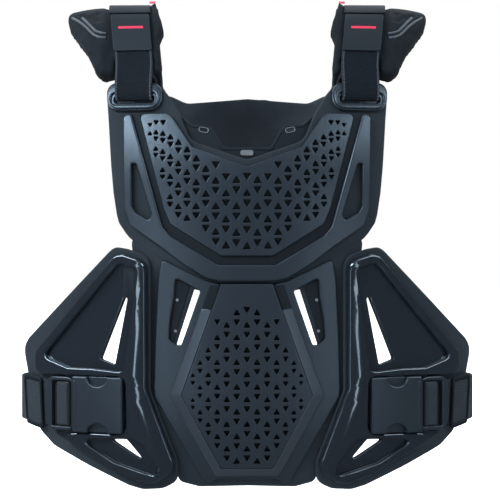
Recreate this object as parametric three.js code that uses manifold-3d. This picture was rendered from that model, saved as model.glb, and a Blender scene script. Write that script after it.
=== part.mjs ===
// Roost deflector: a worn chest guard for off-road riding, in millimetres, +Z up.
// The front faces -Y. The origin is where the shoulder pads rest, midway between the shoulders.
// Every sheet is drawn flat, as it is cut or moulded, and then formed round the body.
import * as THREE from 'three';
import { mergeVertices } from 'three/addons/utils/BufferGeometryUtils.js';
import Module from 'manifold-3d';

// The body that the guard is formed round
const BODY_HALF_WIDTH = 222;
const CHEST_DEPTH = 130;
const BACK_DEPTH = 112;
const CHEST_LEAN_FROM = 170;
const CHEST_LEAN_RADIUS = 212.5;
const BELLY_LEAN_FROM = 350;
const BELLY_LEAN_RADIUS = 455;
const BACK_LEAN_FROM = 150;
const BACK_LEAN_RADIUS = 350;

// Chest plate and the sheet behind it
const CHEST_TOP = -93.5;
const CHEST_HALF_WIDTH = 112;
const CHEST_HEIGHT = 155;
const CARRIER_THICKNESS = 5;
const CHEST_PLATE_THICKNESS = 5.5;
const CHANNEL_THICKNESS = 2;
const CHEST_PANEL_THICKNESS = 4.5;
const NECK_LINER_THICKNESS = 4;
const NECK_SLOT_LENGTH = 7;
const NECK_SLOT_HEIGHT = 3.6;
const BADGE_LENGTH = 12;
const BADGE_HEIGHT = 5.2;
const BADGE_THICKNESS = 1.2;

// Belly plate
const BELLY_HALF_WIDTH = 84;
const BELLY_HEIGHT = 208;
const BELLY_PLATE_THICKNESS = 3;
const BELLY_BAND_THICKNESS = 2.6;
const BELLY_PANEL_THICKNESS = 4.6;

// Triangular vents
const VENT_PITCH = 12.4;
const VENT_ROW_PITCH = 15.4;
const VENT_SIZE = 11;
const VENT_MARGIN = 2;
const VENT_SHRINK = 0.45;

// Side wings
const WING_SPAN = 120;
const WING_HEIGHT = 225;
const WING_PAD_THICKNESS = 5;
const WING_FLOOR_THICKNESS = 1.6;
const WING_RIM_HEIGHT = 5;
const WING_INSET = 3;

// Side buckles and the strap round the waist
const BUCKLE_LENGTH = 42;
const BUCKLE_HEIGHT = 52;
const BUCKLE_THICKNESS = 8;
const THUMB_NOTCH = 8;
const CLIP_LENGTH = 25;
const CLIP_THICKNESS = 5;
const CLIP_BAR = 4;
const WAIST_STRAP_WIDTH = 42;
const STRAP_THICKNESS = 2.4;
const STRAP_STOP_LENGTH = 22;

// Shoulder straps, their rings and their pads
const SHOULDER_REACH = 118;
const SHOULDER_STRAP_WIDTH = 34;
const RING_THICKNESS = 5;
const RING_RIM = 7.2;
const RING_SLOT_HEIGHT = 6.8;
const RING_SLOT_PLAY = 1.3;
const RING_SLOT_DROP = 2.7;
const STRAP_SHOULDER_DROP = 34;
const STRAP_BROW_DROP = 14.5;
const STRAP_CREST_DROP = 3.5;
const SHOULDER_PAD_THICKNESS = 17;
const SHOULDER_PAD_WIDTH = 90;
const PAD_DROOP = 14;
const TAB_THICKNESS = 1.6;
const KEEPER_THICKNESS = 2.2;
const TAG_LENGTH = 6;

// Back plate
const BACK_TOP = -58;
const BACK_SIDE_MARGIN = 18;
const BACK_HEIGHT = 345;
const BACK_PAD_THICKNESS = 7;
const BACK_PLATE_THICKNESS = 3;
const BACK_PLATE_RIM = 3;

// Fits and facets
const SEAM = 0.3;
const FACET_ANGLE = 10;
const FACET_ROW = 27;
const LOOP_FACETS = 15;
const OVERCUT = 3;
const FLATNESS = 5e-4;
const SLIVER = 0.002;

const wasm = await Module();
wasm.setup();

const guard = new THREE.Group();

// Materials
const satinBlack = new THREE.MeshStandardMaterial({ color: 0x1b1e22, roughness: 0.42, metalness: 0 });
const glossBlack = new THREE.MeshStandardMaterial({ color: 0x101215, roughness: 0.18, metalness: 0 });
const rubberBlack = new THREE.MeshStandardMaterial({ color: 0x141618, roughness: 0.8, metalness: 0 });
const foamBlack = new THREE.MeshStandardMaterial({ color: 0x17191b, roughness: 0.92, metalness: 0 });
const clothBlack = new THREE.MeshStandardMaterial({ color: 0x1a1b1e, roughness: 0.95, metalness: 0 });
const webbingBlack = new THREE.MeshStandardMaterial({ color: 0x15161a, roughness: 0.85, metalness: 0 });
const tabGrey = new THREE.MeshStandardMaterial({ color: 0x2b2d31, roughness: 0.7, metalness: 0 });
const tagRed = new THREE.MeshStandardMaterial({ color: 0xa82036, roughness: 0.8, metalness: 0 });

// Solids: a closed geometry becomes a solid for joining and cutting, and comes back as geometry
function solidOf(geometry) {
  const corners = [];
  for (let i = 0; i < geometry.index.count; i += 3) {
    const [a, b, c] = [0, 1, 2].map((k) => geometry.index.getX(i + k));
    if (a !== b && b !== c && c !== a) corners.push(a, b, c);
  }
  return new wasm.Manifold(new wasm.Mesh({
    numProp: 3,
    vertProperties: Float32Array.from(geometry.attributes.position.array),
    triVerts: Uint32Array.from(corners),
  }));
}

function trianglesOf(solid) {
  const mesh = solid.getMesh();
  const at = (i) => Array.from(mesh.vertProperties.slice(i * mesh.numProp, i * mesh.numProp + 3));
  const triangles = [];
  for (let i = 0; i < mesh.triVerts.length; i += 3) {
    triangles.push([at(mesh.triVerts[i]), at(mesh.triVerts[i + 1]), at(mesh.triVerts[i + 2])]);
  }
  return triangles;
}

// Outlines: half of a symmetric outline runs down the left side, and is closed by its mirror image
function mirrored(half) {
  const right = half.filter(([x]) => x < 0).map(([x, y]) => [-x, y]).reverse();
  return [...half, ...right];
}

function grown(points, distance) {
  const turn = THREE.ShapeUtils.area(points.map(([x, y]) => new THREE.Vector2(x, y))) > 0 ? 1 : -1;
  return points.map((point, i) => {
    const before = points[(i + points.length - 1) % points.length];
    const after = points[(i + 1) % points.length];
    const a = new THREE.Vector2(point[0] - before[0], point[1] - before[1]).normalize();
    const b = new THREE.Vector2(after[0] - point[0], after[1] - point[1]).normalize();
    const out = new THREE.Vector2(a.y + b.y, -a.x - b.x).normalize();
    const reach = turn * distance / Math.max(0.4, out.x * a.y - out.y * a.x);
    return [point[0] + out.x * reach, point[1] + out.y * reach];
  });
}

function roundedBox(centre, halfWidth, halfHeight, radius, sides = 2) {
  const points = [];
  for (let corner = 0; corner < 4; corner += 1) {
    const right = corner === 0 || corner === 3 ? 1 : -1;
    const up = corner < 2 ? 1 : -1;
    for (let step = 0; step <= sides; step += 1) {
      const angle = (corner + step / sides) * Math.PI / 2;
      points.push([
        centre[0] + right * (halfWidth - radius) + radius * Math.cos(angle),
        centre[1] + up * (halfHeight - radius) + radius * Math.sin(angle),
      ]);
    }
  }
  return points;
}

// Forming: the flat triangles are split along the fold lines and each corner is moved to its place
function clipped(points, axis, place, sign) {
  const kept = [];
  points.forEach((point, i) => {
    const next = points[(i + 1) % points.length];
    const here = point[axis] - place;
    const there = next[axis] - place;
    if (sign * here >= 0) kept.push(point);
    if (here * there < 0) {
      const [start, end] = here < 0 ? [point, next] : [next, point];
      const share = (place - start[axis]) / (end[axis] - start[axis]);
      kept.push(start.map((value, k) => (k === axis ? place : value + (end[k] - value) * share)));
    }
  });
  return kept;
}

function split(triangles, axis, places) {
  let pieces = triangles;
  for (const place of places) {
    pieces = pieces.flatMap((triangle) => [1, -1].flatMap((sign) => {
      const corners = clipped(triangle, axis, place, sign);
      const flat = corners.every((corner) => Math.abs(corner[axis] - place) < 1e-9);
      if (corners.length < 3 || (flat && sign < 0)) return [];
      return corners.slice(2).map((corner, i) => [corners[0], corners[i + 1], corner]);
    }));
  }
  return pieces;
}

function geometryOf(triangles) {
  const geometry = new THREE.BufferGeometry();
  geometry.setAttribute('position', new THREE.Float32BufferAttribute(triangles.flat(2), 3));
  return mergeVertices(geometry);
}

// Takes out each corner that lies inside a flat face or along a straight edge
function tidied(geometry) {
  const position = geometry.attributes.position;
  const corner = (i) => new THREE.Vector3().fromBufferAttribute(position, i);
  const faces = [];
  const facesAt = Array.from({ length: position.count }, () => new Set());
  for (let i = 0; i < geometry.index.count; i += 3) {
    const face = [0, 1, 2].map((k) => geometry.index.getX(i + k));
    if (new Set(face).size < 3) continue;
    face.forEach((vertex) => facesAt[vertex].add(faces.length));
    faces.push(face);
  }
  const facing = ([a, b, c]) => new THREE.Triangle(corner(a), corner(b), corner(c));
  const normalOf = (face) => facing(face).getNormal(new THREE.Vector3());
  const neighbours = (vertex) => new Set(
    [...facesAt[vertex]].flatMap((i) => faces[i].filter((v) => v !== vertex)),
  );
  const same = (a, b) => a.dot(b) > 1 - FLATNESS;
  const firstNormals = faces.map(normalOf);

  function collapse(vertex) {
    const normals = [];
    for (const i of facesAt[vertex]) {
      const normal = normalOf(faces[i]);
      const isNew = !normals.some((known) => same(known, normal));
      if (facing(faces[i]).getArea() > SLIVER && isNew) normals.push(normal);
    }
    if (normals.length === 0 || normals.length > 2) return false;
    const near = neighbours(vertex);
    for (const target of near) {
      const shared = [...facesAt[vertex]].filter((i) => faces[i].includes(target));
      const moved = [...facesAt[vertex]].filter((i) => !faces[i].includes(target));
      const [one, two] = shared.map((i) => normalOf(faces[i]));
      if (shared.length !== 2 || (normals.length === 2 && same(one, two))) continue;
      if ([...neighbours(target)].filter((v) => near.has(v)).length !== 2) continue;
      const sound = moved.every((i) => {
        const face = faces[i].map((v) => (v === vertex ? target : v));
        const normal = normalOf(face);
        return facing(face).getArea() > SLIVER && same(normal, firstNormals[i]);
      });
      if (!sound) continue;
      for (const i of shared) {
        faces[i].forEach((v) => facesAt[v].delete(i));
        faces[i] = null;
      }
      for (const i of moved) {
        faces[i] = faces[i].map((v) => (v === vertex ? target : v));
        facesAt[target].add(i);
      }
      facesAt[vertex].clear();
      return true;
    }
    return false;
  }

  for (let pass = 0; pass < 9; pass += 1) {
    let count = 0;
    for (let vertex = 0; vertex < position.count; vertex += 1) {
      if (facesAt[vertex].size > 0 && collapse(vertex)) count += 1;
    }
    if (count === 0) break;
  }
  return geometryOf(faces.filter((face) => face).map((face) => face.map((v) => corner(v).toArray())));
}

function volumeOf(triangles) {
  const corner = (point) => new THREE.Vector3(...point);
  return triangles.reduce((sum, [a, b, c]) => sum + corner(a).dot(corner(b).cross(corner(c))) / 6, 0);
}

function placed(triangles, form) {
  const there = triangles.map((triangle) => triangle.map(([a, b, out]) => form.place(a, b, out).toArray()));
  return solidOf(geometryOf(volumeOf(there) < 0 ? there.map(([a, b, c]) => [a, c, b]) : there));
}

// What an outline encloses between two levels, with a chamfer at the front if it has one
function cutter(form, outlines, low, high, { holes = [], chamfer = 0 } = {}) {
  const vectors = (points) => {
    const corners = points.map(([x, y]) => new THREE.Vector2(x, y));
    return THREE.ShapeUtils.isClockWise(corners) ? corners.reverse() : corners;
  };
  const shapes = outlines.map((points) => new THREE.Shape(vectors(points)));
  holes.forEach((hole) => shapes[0].holes.push(new THREE.Path(vectors(hole))));
  const past = chamfer + OVERCUT / 8;
  const geometry = new THREE.ExtrudeGeometry(shapes, {
    depth: (chamfer > 0 ? high - chamfer : high + OVERCUT) - low, bevelEnabled: chamfer > 0,
    bevelThickness: past, bevelSize: past, bevelOffset: -past, bevelSegments: 1,
  });
  const flat = geometry.translate(0, 0, low).attributes.position.array;
  const triangles = [];
  for (let i = 0; i < flat.length; i += 9) {
    triangles.push([0, 3, 6].map((corner) => Array.from(flat.slice(i + corner, i + corner + 3))));
  }
  return placed(split(split(triangles, 0, form.columns), 1, form.rows), form);
}

// A formed layer between two levels, with a facet between each two fold lines
function layer(form, outline, low, high) {
  const reach = (axis, lines) => {
    const from = Math.min(...outline.map((point) => point[axis])) - 1;
    const to = Math.max(...outline.map((point) => point[axis])) + 1;
    const below = lines.filter((line) => line <= from);
    const above = lines.filter((line) => line >= to);
    const start = below.length ? Math.max(...below) : from;
    const end = above.length ? Math.min(...above) : to;
    return [start, ...lines.filter((line) => line > start && line < end).sort((a, b) => a - b), end];
  };
  const columns = reach(0, form.columns);
  const rows = reach(1, form.rows);
  return grid(form, columns, rows, low, high);
}

function grid(form, columns, rows, low, high) {
  const triangles = [];
  const quad = (a, b, c, d) => triangles.push([a, b, c], [a, c, d]);
  for (let i = 1; i < columns.length; i += 1) {
    const [left, right] = [columns[i - 1], columns[i]];
    for (let j = 1; j < rows.length; j += 1) {
      const [near, far] = [rows[j - 1], rows[j]];
      quad([left, near, high], [right, near, high], [right, far, high], [left, far, high]);
      triangles.push([[left, near, low], [right, far, low], [right, near, low]]);
      triangles.push([[left, near, low], [left, far, low], [right, far, low]]);
    }
    quad([left, rows[0], low], [right, rows[0], low], [right, rows[0], high], [left, rows[0], high]);
    const last = rows[rows.length - 1];
    quad([right, last, low], [left, last, low], [left, last, high], [right, last, high]);
  }
  for (let j = 1; j < rows.length; j += 1) {
    const [near, far] = [rows[j - 1], rows[j]];
    const [first, last] = [columns[0], columns[columns.length - 1]];
    quad([first, far, low], [first, near, low], [first, near, high], [first, far, high]);
    quad([last, near, low], [last, far, low], [last, far, high], [last, near, high]);
  }
  return placed(triangles, form);
}

// A formed sheet of an outline's shape, with holes through it and its front edges chamfered
function sheet(form, outline, low, high, { holes = [], chamfer = 0 } = {}) {
  const blank = layer(form, outline, low, high);
  return blank.intersect(cutter(form, [outline], low - OVERCUT, high, { holes, chamfer }));
}

function add(name, solid, material) {
  const geometry = solid.isBufferGeometry ? solid : tidied(geometryOf(trianglesOf(solid)));
  const mesh = new THREE.Mesh(geometry, material);
  mesh.name = name;
  guard.add(mesh);
  return mesh;
}

// The body: an oval that leans back at the chest and the belly
const radians = Math.PI / 180;

function leanAt(angle, z) {
  if (Math.cos(angle) < 0) {
    return z > -BACK_LEAN_FROM ? (z + BACK_LEAN_FROM) ** 2 / (2 * BACK_LEAN_RADIUS) : 0;
  }
  const top = Math.max(0, z + CHEST_LEAN_FROM) ** 2 / (2 * CHEST_LEAN_RADIUS);
  const low = Math.min(0, z + BELLY_LEAN_FROM) ** 2 / (2 * BELLY_LEAN_RADIUS);
  return top + low;
}

function around(angle, z, out) {
  const depth = Math.cos(angle) < 0 ? BACK_DEPTH : CHEST_DEPTH;
  const x = BODY_HALF_WIDTH * Math.sin(angle);
  const y = -depth * Math.cos(angle);
  const facing = new THREE.Vector2(x / BODY_HALF_WIDTH ** 2, y / depth ** 2).normalize();
  const lean = leanAt(angle, z) * Math.cos(angle);
  return new THREE.Vector3(x + out * facing.x, y + out * facing.y + lean, z);
}

const foldRows = [];
for (let z = -FACET_ROW; z > -480; z -= FACET_ROW) foldRows.push(z);
const curvedRows = foldRows.filter((z) => z > -CHEST_LEAN_FROM || z < -BELLY_LEAN_FROM);
const foldColumns = [];
for (let angle = -80; angle <= 80; angle += FACET_ANGLE) {
  foldColumns.push(BODY_HALF_WIDTH * Math.sin(angle * radians));
}

function sideAngle(x) {
  return Math.asin(THREE.MathUtils.clamp(x / BODY_HALF_WIDTH, -0.999, 0.999));
}

const front = {
  columns: foldColumns,
  rows: curvedRows,
  place: (x, z, out) => around(sideAngle(x), z, out),
};
const back = {
  columns: foldColumns,
  rows: foldRows.filter((z) => z > -BACK_LEAN_FROM),
  place: (x, z, out) => around(Math.PI + sideAngle(x), z, out),
};

// Levels that the layers of the front lie at, counted out from the body
const carrierFront = CARRIER_THICKNESS;
const plateBack = carrierFront + SEAM;
const wingPadFront = plateBack + WING_PAD_THICKNESS;
const shellBack = wingPadFront + SEAM;
const backPlateBack = BACK_PAD_THICKNESS + SEAM;
const backPlateFront = backPlateBack + BACK_PLATE_THICKNESS;

// Drawing places: shares of the sizes of each group, down from its top
const chestPlace = ([u, v]) => [u * CHEST_HALF_WIDTH, CHEST_TOP - v * CHEST_HEIGHT];
const bellyTop = CHEST_TOP - 0.868 * CHEST_HEIGHT;
const bellyPlace = ([u, v]) => [u * BELLY_HALF_WIDTH, bellyTop - v * BELLY_HEIGHT];
const wingTop = bellyTop + 0.052 * BELLY_HEIGHT;
const wingInner = BELLY_HALF_WIDTH + WING_INSET;
const wingPlace = ([u, v]) => [-wingInner - u * WING_SPAN, wingTop - v * WING_HEIGHT];
const backHalfWidth = CHEST_HALF_WIDTH + BACK_SIDE_MARGIN;
const backPlace = ([u, v]) => [u * backHalfWidth, BACK_TOP - v * BACK_HEIGHT];
const mirror = (points) => points.map(([x, y]) => [-x, y]).reverse();

// Vents: rows of triangles that point up and down in turn, smaller towards the sides
function triangle(centre, size, up) {
  const half = size / 2;
  const rise = up ? half * 0.9 : -half * 0.9;
  const points = [[-half, -rise], [half, -rise], [0, rise]];
  const turned = up ? points : points.reverse();
  return turned.map(([x, y]) => [centre[0] + x, centre[1] + y]);
}

function inside(point, outline) {
  let within = false;
  outline.forEach(([x, y], i) => {
    const [nextX, nextY] = outline[(i + 1) % outline.length];
    const crosses = (y > point[1]) !== (nextY > point[1]);
    if (crosses && point[0] < (nextX - x) * (point[1] - y) / (nextY - y) + x) within = !within;
  });
  return within;
}

function vents(outline, topRow, rows, halfWidth, perRow) {
  const room = grown(outline, -VENT_MARGIN);
  const found = [];
  for (let row = 0; row < rows; row += 1) {
    const z = topRow - row * VENT_ROW_PITCH;
    for (let column = -perRow; column <= perRow; column += 1) {
      const share = Math.abs(column) * VENT_PITCH / halfWidth;
      const x = column * VENT_PITCH * (1 - VENT_SHRINK / 2 * share);
      const size = VENT_SIZE * (1 - VENT_SHRINK * share);
      const vent = triangle([x, z], size, (row + column) % 2 !== 0);
      if (vent.every((corner) => inside(corner, room))) found.push(vent);
    }
  }
  return found;
}

// Rings that the shoulder straps pass through, at the same place on the chest and the back
const ringCentre = chestPlace([-0.92, -0.108]);
const slotHalfWidth = SHOULDER_STRAP_WIDTH / 2 + RING_SLOT_PLAY;
const slotHalfHeight = RING_SLOT_HEIGHT / 2;
const slotCentre = [ringCentre[0], ringCentre[1] - RING_SLOT_DROP];
const slot = roundedBox(slotCentre, slotHalfWidth, slotHalfHeight, slotHalfHeight * 0.9);
const ringOutline = roundedBox(
  ringCentre, slotHalfWidth + RING_RIM, slotHalfHeight + RING_RIM + RING_SLOT_DROP,
  slotHalfHeight + RING_RIM,
);
const slots = [slot, mirror(slot)];

// Chest carrier: the soft sheet that everything on the chest is fixed to
const carrierHalf = [
  [0, 0.281], [-0.413, 0.177], [-0.471, 0.147], [-0.548, 0.012], [-0.652, -0.115], [-0.704, -0.162],
  [-0.756, -0.194], [-1.106, -0.201], [-1.144, -0.184], [-1.168, -0.149], [-1.144, 0.043], [-1.118, 0.31],
  [-1.097, 0.474], [-1.07, 0.603], [-1.051, 0.655], [-0.996, 0.714], [-0.959, 0.747], [-0.694, 0.875],
  [-0.222, 1.018], [0, 1.018],
];
const carrierOutline = mirrored(carrierHalf.map(chestPlace));
const carrierTop = Math.max(...carrierOutline.map(([, z]) => z));
const carrier = sheet(front, carrierOutline, 0, carrierFront, { holes: slots });
add('chest_carrier', carrier, foamBlack);

// Chest plate: the hard frame, the soft channel inside it and the vented panel inside that
const chestHalf = [
  [0, 0.324], [-0.444, 0.203], [-0.607, 0.02], [-0.645, 0], [-0.97, 0], [-0.999, 0.02], [-0.987, 0.571],
  [-0.946, 0.67], [-0.7, 0.795], [-0.5125, 0.9], [-0.327, 0.982], [-0.219, 1], [0, 1],
];
const channelHalf = [
  [0, -0.1], [-0.971, -0.1], [-0.677, 0.675], [-0.616, 0.73], [-0.231, 0.902], [0, 0.902],
];
const panelHalf = [
  [0, -0.1], [-0.907, -0.1], [-0.67, 0.565], [-0.616, 0.664], [-0.208, 0.852], [0, 0.852],
];
const windowHalf = [
  [-0.929, 0.3], [-0.892, 0.3], [-0.766, 0.605], [-0.783, 0.641], [-0.896, 0.592], [-0.923, 0.559],
].map(chestPlace);
const chestOutline = mirrored(chestHalf.map(chestPlace));
const channelOutline = mirrored(channelHalf.map(chestPlace));
const panelOutline = mirrored(panelHalf.map(chestPlace));
const plateFront = plateBack + CHEST_PLATE_THICKNESS;
const clearCut = (outline) => cutter(front, [outline], plateBack - 1, plateFront + 1);

const frameSheet = sheet(front, chestOutline, plateBack, plateFront, { chamfer: 1.6 });
const frameWindows = cutter(front, [windowHalf, mirror(windowHalf)], plateBack - 1, plateFront + 1);
add('chest_frame', frameSheet.subtract(clearCut(channelOutline)).subtract(frameWindows), satinBlack);

const channelSheet = sheet(front, grown(chestOutline, -1), plateBack, plateBack + CHANNEL_THICKNESS);
const channelBand = channelSheet.intersect(clearCut(grown(channelOutline, -SEAM)));
add('chest_channel', channelBand.subtract(clearCut(panelOutline)), rubberBlack);

const panelSheet = sheet(front, chestOutline, plateBack, plateBack + CHEST_PANEL_THICKNESS, { chamfer: 1.2 });
const chestPanel = panelSheet.intersect(clearCut(grown(panelOutline, -SEAM)));
const chestVentRoom = mirrored([
  [0, 0.345], [-0.444, 0.225], [-0.607, 0.04], [-0.875, 0.02], [-0.66, 0.565], [-0.606, 0.654],
  [-0.208, 0.835], [0, 0.835],
].map(chestPlace));
const chestVents = vents(chestVentRoom, CHEST_TOP - 0.085 * CHEST_HEIGHT, 9, CHEST_HALF_WIDTH, 8);

const chestVentCut = cutter(front, chestVents, plateBack - 1, plateFront + 1);
add('chest_vent_panel', chestPanel.subtract(chestVentCut), satinBlack);

// Neck liner: the moulded sheet behind the neckline, with two slots and a bare badge
const linerHalf = [
  [0, 0.205], [-0.196, 0.205], [-0.268, 0.113], [-0.315, 0.074], [-0.462, 0.064], [-0.53, 0.02],
  [-0.63, 0.0], [-0.66, 0.42], [0, 0.5],
];
const neckSlot = roundedBox(
  chestPlace([-0.358, 0.098]), NECK_SLOT_LENGTH / 2, NECK_SLOT_HEIGHT / 2, NECK_SLOT_HEIGHT * 0.42,
);
const liner = sheet(front, mirrored(linerHalf.map(chestPlace)), -SEAM - NECK_LINER_THICKNESS, -SEAM,
  { holes: [neckSlot, mirror(neckSlot)] });
add('neck_liner', liner, rubberBlack);

const badgeCentre = chestPlace([0, 0.238]);
const badge = add('neck_badge', new THREE.BoxGeometry(BADGE_LENGTH, BADGE_THICKNESS, BADGE_HEIGHT), tabGrey);
const badgeSeat = around(0, badgeCentre[1] + BADGE_HEIGHT / 2, -SEAM);
badge.position.set(0, badgeSeat.y - SEAM - BADGE_THICKNESS / 2 - 0.9, badgeCentre[1]);

// Strap rings on the chest
function ringAt(name, form, turn, low) {
  const holes = [turn(slot)];
  add(name, sheet(form, turn(ringOutline), low, low + RING_THICKNESS, { holes, chamfer: 1.4 }), satinBlack);
}

ringAt('strap_ring_left', front, (points) => points, plateBack);
ringAt('strap_ring_right', front, mirror, plateBack);

// Belly carrier: the soft sheet behind the belly plate and the wings, with slits that air passes
const bellyCarrierHalf = [
  [0, -0.1], [-1.283, -0.1], [-1.2, 0.15], [-1.18, 0.45], [-1.05, 0.62], [-0.8, 0.9], [-0.74, 0.99],
  [-0.52, 1.012], [0, 1.006],
];
const bellySlit = [[-0.498, 0.142], [-0.706, 0.382], [-0.77, 0.382], [-0.575, 0.135]].map(bellyPlace);
const bellyBlank = sheet(front, mirrored(bellyCarrierHalf.map(bellyPlace)), 0, carrierFront,
  { holes: [bellySlit, mirror(bellySlit)] });
const underChest = cutter(front, [grown(carrierOutline, SEAM)], -1, carrierFront + 1);
const bellyCarrier = bellyBlank.subtract(underChest);
add('belly_carrier', bellyCarrier, foamBlack);

// Belly plate: the hard plate with two windows, the raised band on it and the vented panel
const bellyHalf = [
  [0, 0.112], [-0.292, 0.112], [-0.436, 0.099], [-0.683, 0.05], [-0.921, 0], [-0.956, 0.099],
  [-0.981, 0.308], [-1, 0.572], [-0.989, 0.614], [-0.463, 0.987], [-0.417, 1], [-0.311, 0.975], [0, 0.975],
];
const bandOuterHalf = [
  [0, 0.112], [-0.4, 0.112], [-0.483, 0.221], [-0.83, 0.604], [-0.337, 0.962], [0, 0.962],
];
const bandInnerHalf = [
  [0, 0.112], [-0.277, 0.112], [-0.374, 0.225], [-0.699, 0.603], [-0.277, 0.927], [0, 0.927],
];
const bellyWindow = [
  [-0.769, 0.083], [-0.498, 0.142], [-0.706, 0.382], [-0.755, 0.382], [-0.838, 0.357], [-0.825, 0.272],
  [-0.782, 0.17],
].map(bellyPlace);
const bellyOutline = mirrored(bellyHalf.map(bellyPlace));
const bandOuter = mirrored(bandOuterHalf.map(bellyPlace));
const bandInner = mirrored(bandInnerHalf.map(bellyPlace));
const bellyPlateFront = plateBack + BELLY_PLATE_THICKNESS;
const bandFront = bellyPlateFront + SEAM + BELLY_BAND_THICKNESS;
const bellyCut = (outline) => cutter(front, [outline], plateBack - 1, bandFront + 3);
const topCut = cutter(front, [grown(chestOutline, 1)], plateBack - 1, bandFront + 3);
const tall = (outline) => outline.map(([x, y]) => [x, y > bellyPlace([0, 0.12])[1] ? y + 10 : y]);

const bellySheet = sheet(front, bellyOutline, plateBack, bellyPlateFront, { chamfer: 1 });
const bellyWindows = cutter(front, [bellyWindow, mirror(bellyWindow)], plateBack - 1, bellyPlateFront + 1);
const bellyPlate = bellySheet.subtract(bellyCut(tall(bandInner))).subtract(bellyWindows).subtract(topCut);
add('belly_plate', bellyPlate, satinBlack);

const bandSheet = sheet(front, bandOuter, bellyPlateFront + SEAM, bandFront, { chamfer: 1.4 });
const band = bandSheet.subtract(bellyCut(tall(bandInner))).subtract(topCut);
add('belly_band', band, satinBlack);

const bellyPanelFront = plateBack + BELLY_PANEL_THICKNESS;
const bellyPanelSheet = sheet(front, grown(bandInner, -SEAM), plateBack, bellyPanelFront);
const bellyVentRoom = mirrored([
  [0, 0.225], [-0.374, 0.235], [-0.69, 0.603], [-0.277, 0.915], [0, 0.915],
].map(bellyPlace));
const bellyVents = vents(bellyVentRoom, bellyPlace([0, 0.262])[1], 12, CHEST_HALF_WIDTH, 3);

const bellyVentCut = cutter(front, bellyVents, plateBack - 1, bandFront + 1);
const bellyPanel = bellyPanelSheet.subtract(bellyVentCut).subtract(topCut);
add('belly_vent_panel', bellyPanel, satinBlack);

// Wings: a soft pad with a glossy moulded shell on it, hollowed in two windows
const wingPadPoints = [
  [0.173, 0.008], [0, 0.041], [0, 0.588], [-0.208, 0.875], [-0.2075, 0.96], [-0.09, 0.992], [0.06, 0.998],
  [0.1675, 0.982], [0.469, 0.908], [0.749, 0.832], [0.855, 0.776], [0.888, 0.736], [0.965, 0.533],
  [0.992, 0.463], [0.9975, 0.423], [0.961, 0.387], [0.301, 0.0124], [0.261, 0],
].map(wingPlace);
const shellPoints = [
  [0.188, 0.029], [0.064, 0.049], [0.02, 0.07], [0.01, 0.11], [0.01, 0.578], [-0.195, 0.88],
  [-0.175, 0.922], [-0.064, 0.965], [0.0375, 0.97], [0.192, 0.9356], [0.786, 0.763], [0.861, 0.529],
  [0.861, 0.442], [0.253, 0.037],
].map(wingPlace);
const upperHollow = [
  [0.217, 0.066], [0.07, 0.088], [0.186, 0.53], [0.4125, 0.512], [0.596, 0.511], [0.8, 0.462],
].map(wingPlace);
const lowerHollow = [
  [0.525, 0.785], [0.109, 0.778], [0.041, 0.8], [-0.088, 0.908], [-0.049, 0.936], [0.243, 0.885],
].map(wingPlace);
const upperSlit = [[0.186, 0.203], [0.1625, 0.211], [0.259, 0.4853], [0.373, 0.462]].map(wingPlace);
const lowerSlit = [[0.3, 0.79], [0.171, 0.79], [0.021, 0.886]].map(wingPlace);

// Side buckle: it lies level across the wing, in a bay of the shell
const buckleCentreZ = wingPlace([0, 0.65])[1];
const clipInner = wingPlace([0.61, 0])[0];
const clipOuter = clipInner - CLIP_LENGTH;
const buckleInner = clipInner + BUCKLE_LENGTH;
const bayHalf = BUCKLE_HEIGHT / 2 + 1.5;
const bay = [
  [clipOuter - CLIP_LENGTH, buckleCentreZ - bayHalf], [clipInner + 1, buckleCentreZ - bayHalf],
  [clipInner + 1, buckleCentreZ + bayHalf], [clipOuter - CLIP_LENGTH, buckleCentreZ + bayHalf],
];
const gapCentreX = (clipInner + clipOuter) / 2 + 1.5;
const gapHalfWidth = CLIP_LENGTH / 2 - CLIP_BAR - 2;
const floorFront = shellBack + WING_FLOOR_THICKNESS;
const rimFront = floorFront + WING_RIM_HEIGHT;

function wing(side) {
  const turn = side < 0 ? (points) => points : mirror;
  const slits = [turn(upperSlit), turn(lowerSlit)];
  const pad = sheet(front, turn(wingPadPoints), plateBack, wingPadFront, { holes: slits });
  const rim = sheet(front, turn(shellPoints), shellBack, rimFront, { chamfer: 2 });
  const hollowed = (points) => sheet(front, turn(points), floorFront, rimFront + 1);
  const hollows = [upperHollow, lowerHollow].map(hollowed);
  const cuts = cutter(front, [...slits, turn(bay)], shellBack - 1, rimFront + 1);
  const seatHalf = BUCKLE_HEIGHT / 2 + SEAM;
  const seat = hollowed([
    [clipInner, buckleCentreZ - seatHalf], [buckleInner + SEAM, buckleCentreZ - seatHalf],
    [buckleInner + SEAM, buckleCentreZ + seatHalf], [clipInner, buckleCentreZ + seatHalf],
  ]);
  const shell = [...hollows, seat, cuts].reduce((rest, cut) => rest.subtract(cut), rim);
  const name = side < 0 ? 'left' : 'right';
  add(`wing_pad_${name}`, pad, foamBlack);
  add(`wing_shell_${name}`, shell, glossBlack);
}

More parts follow.
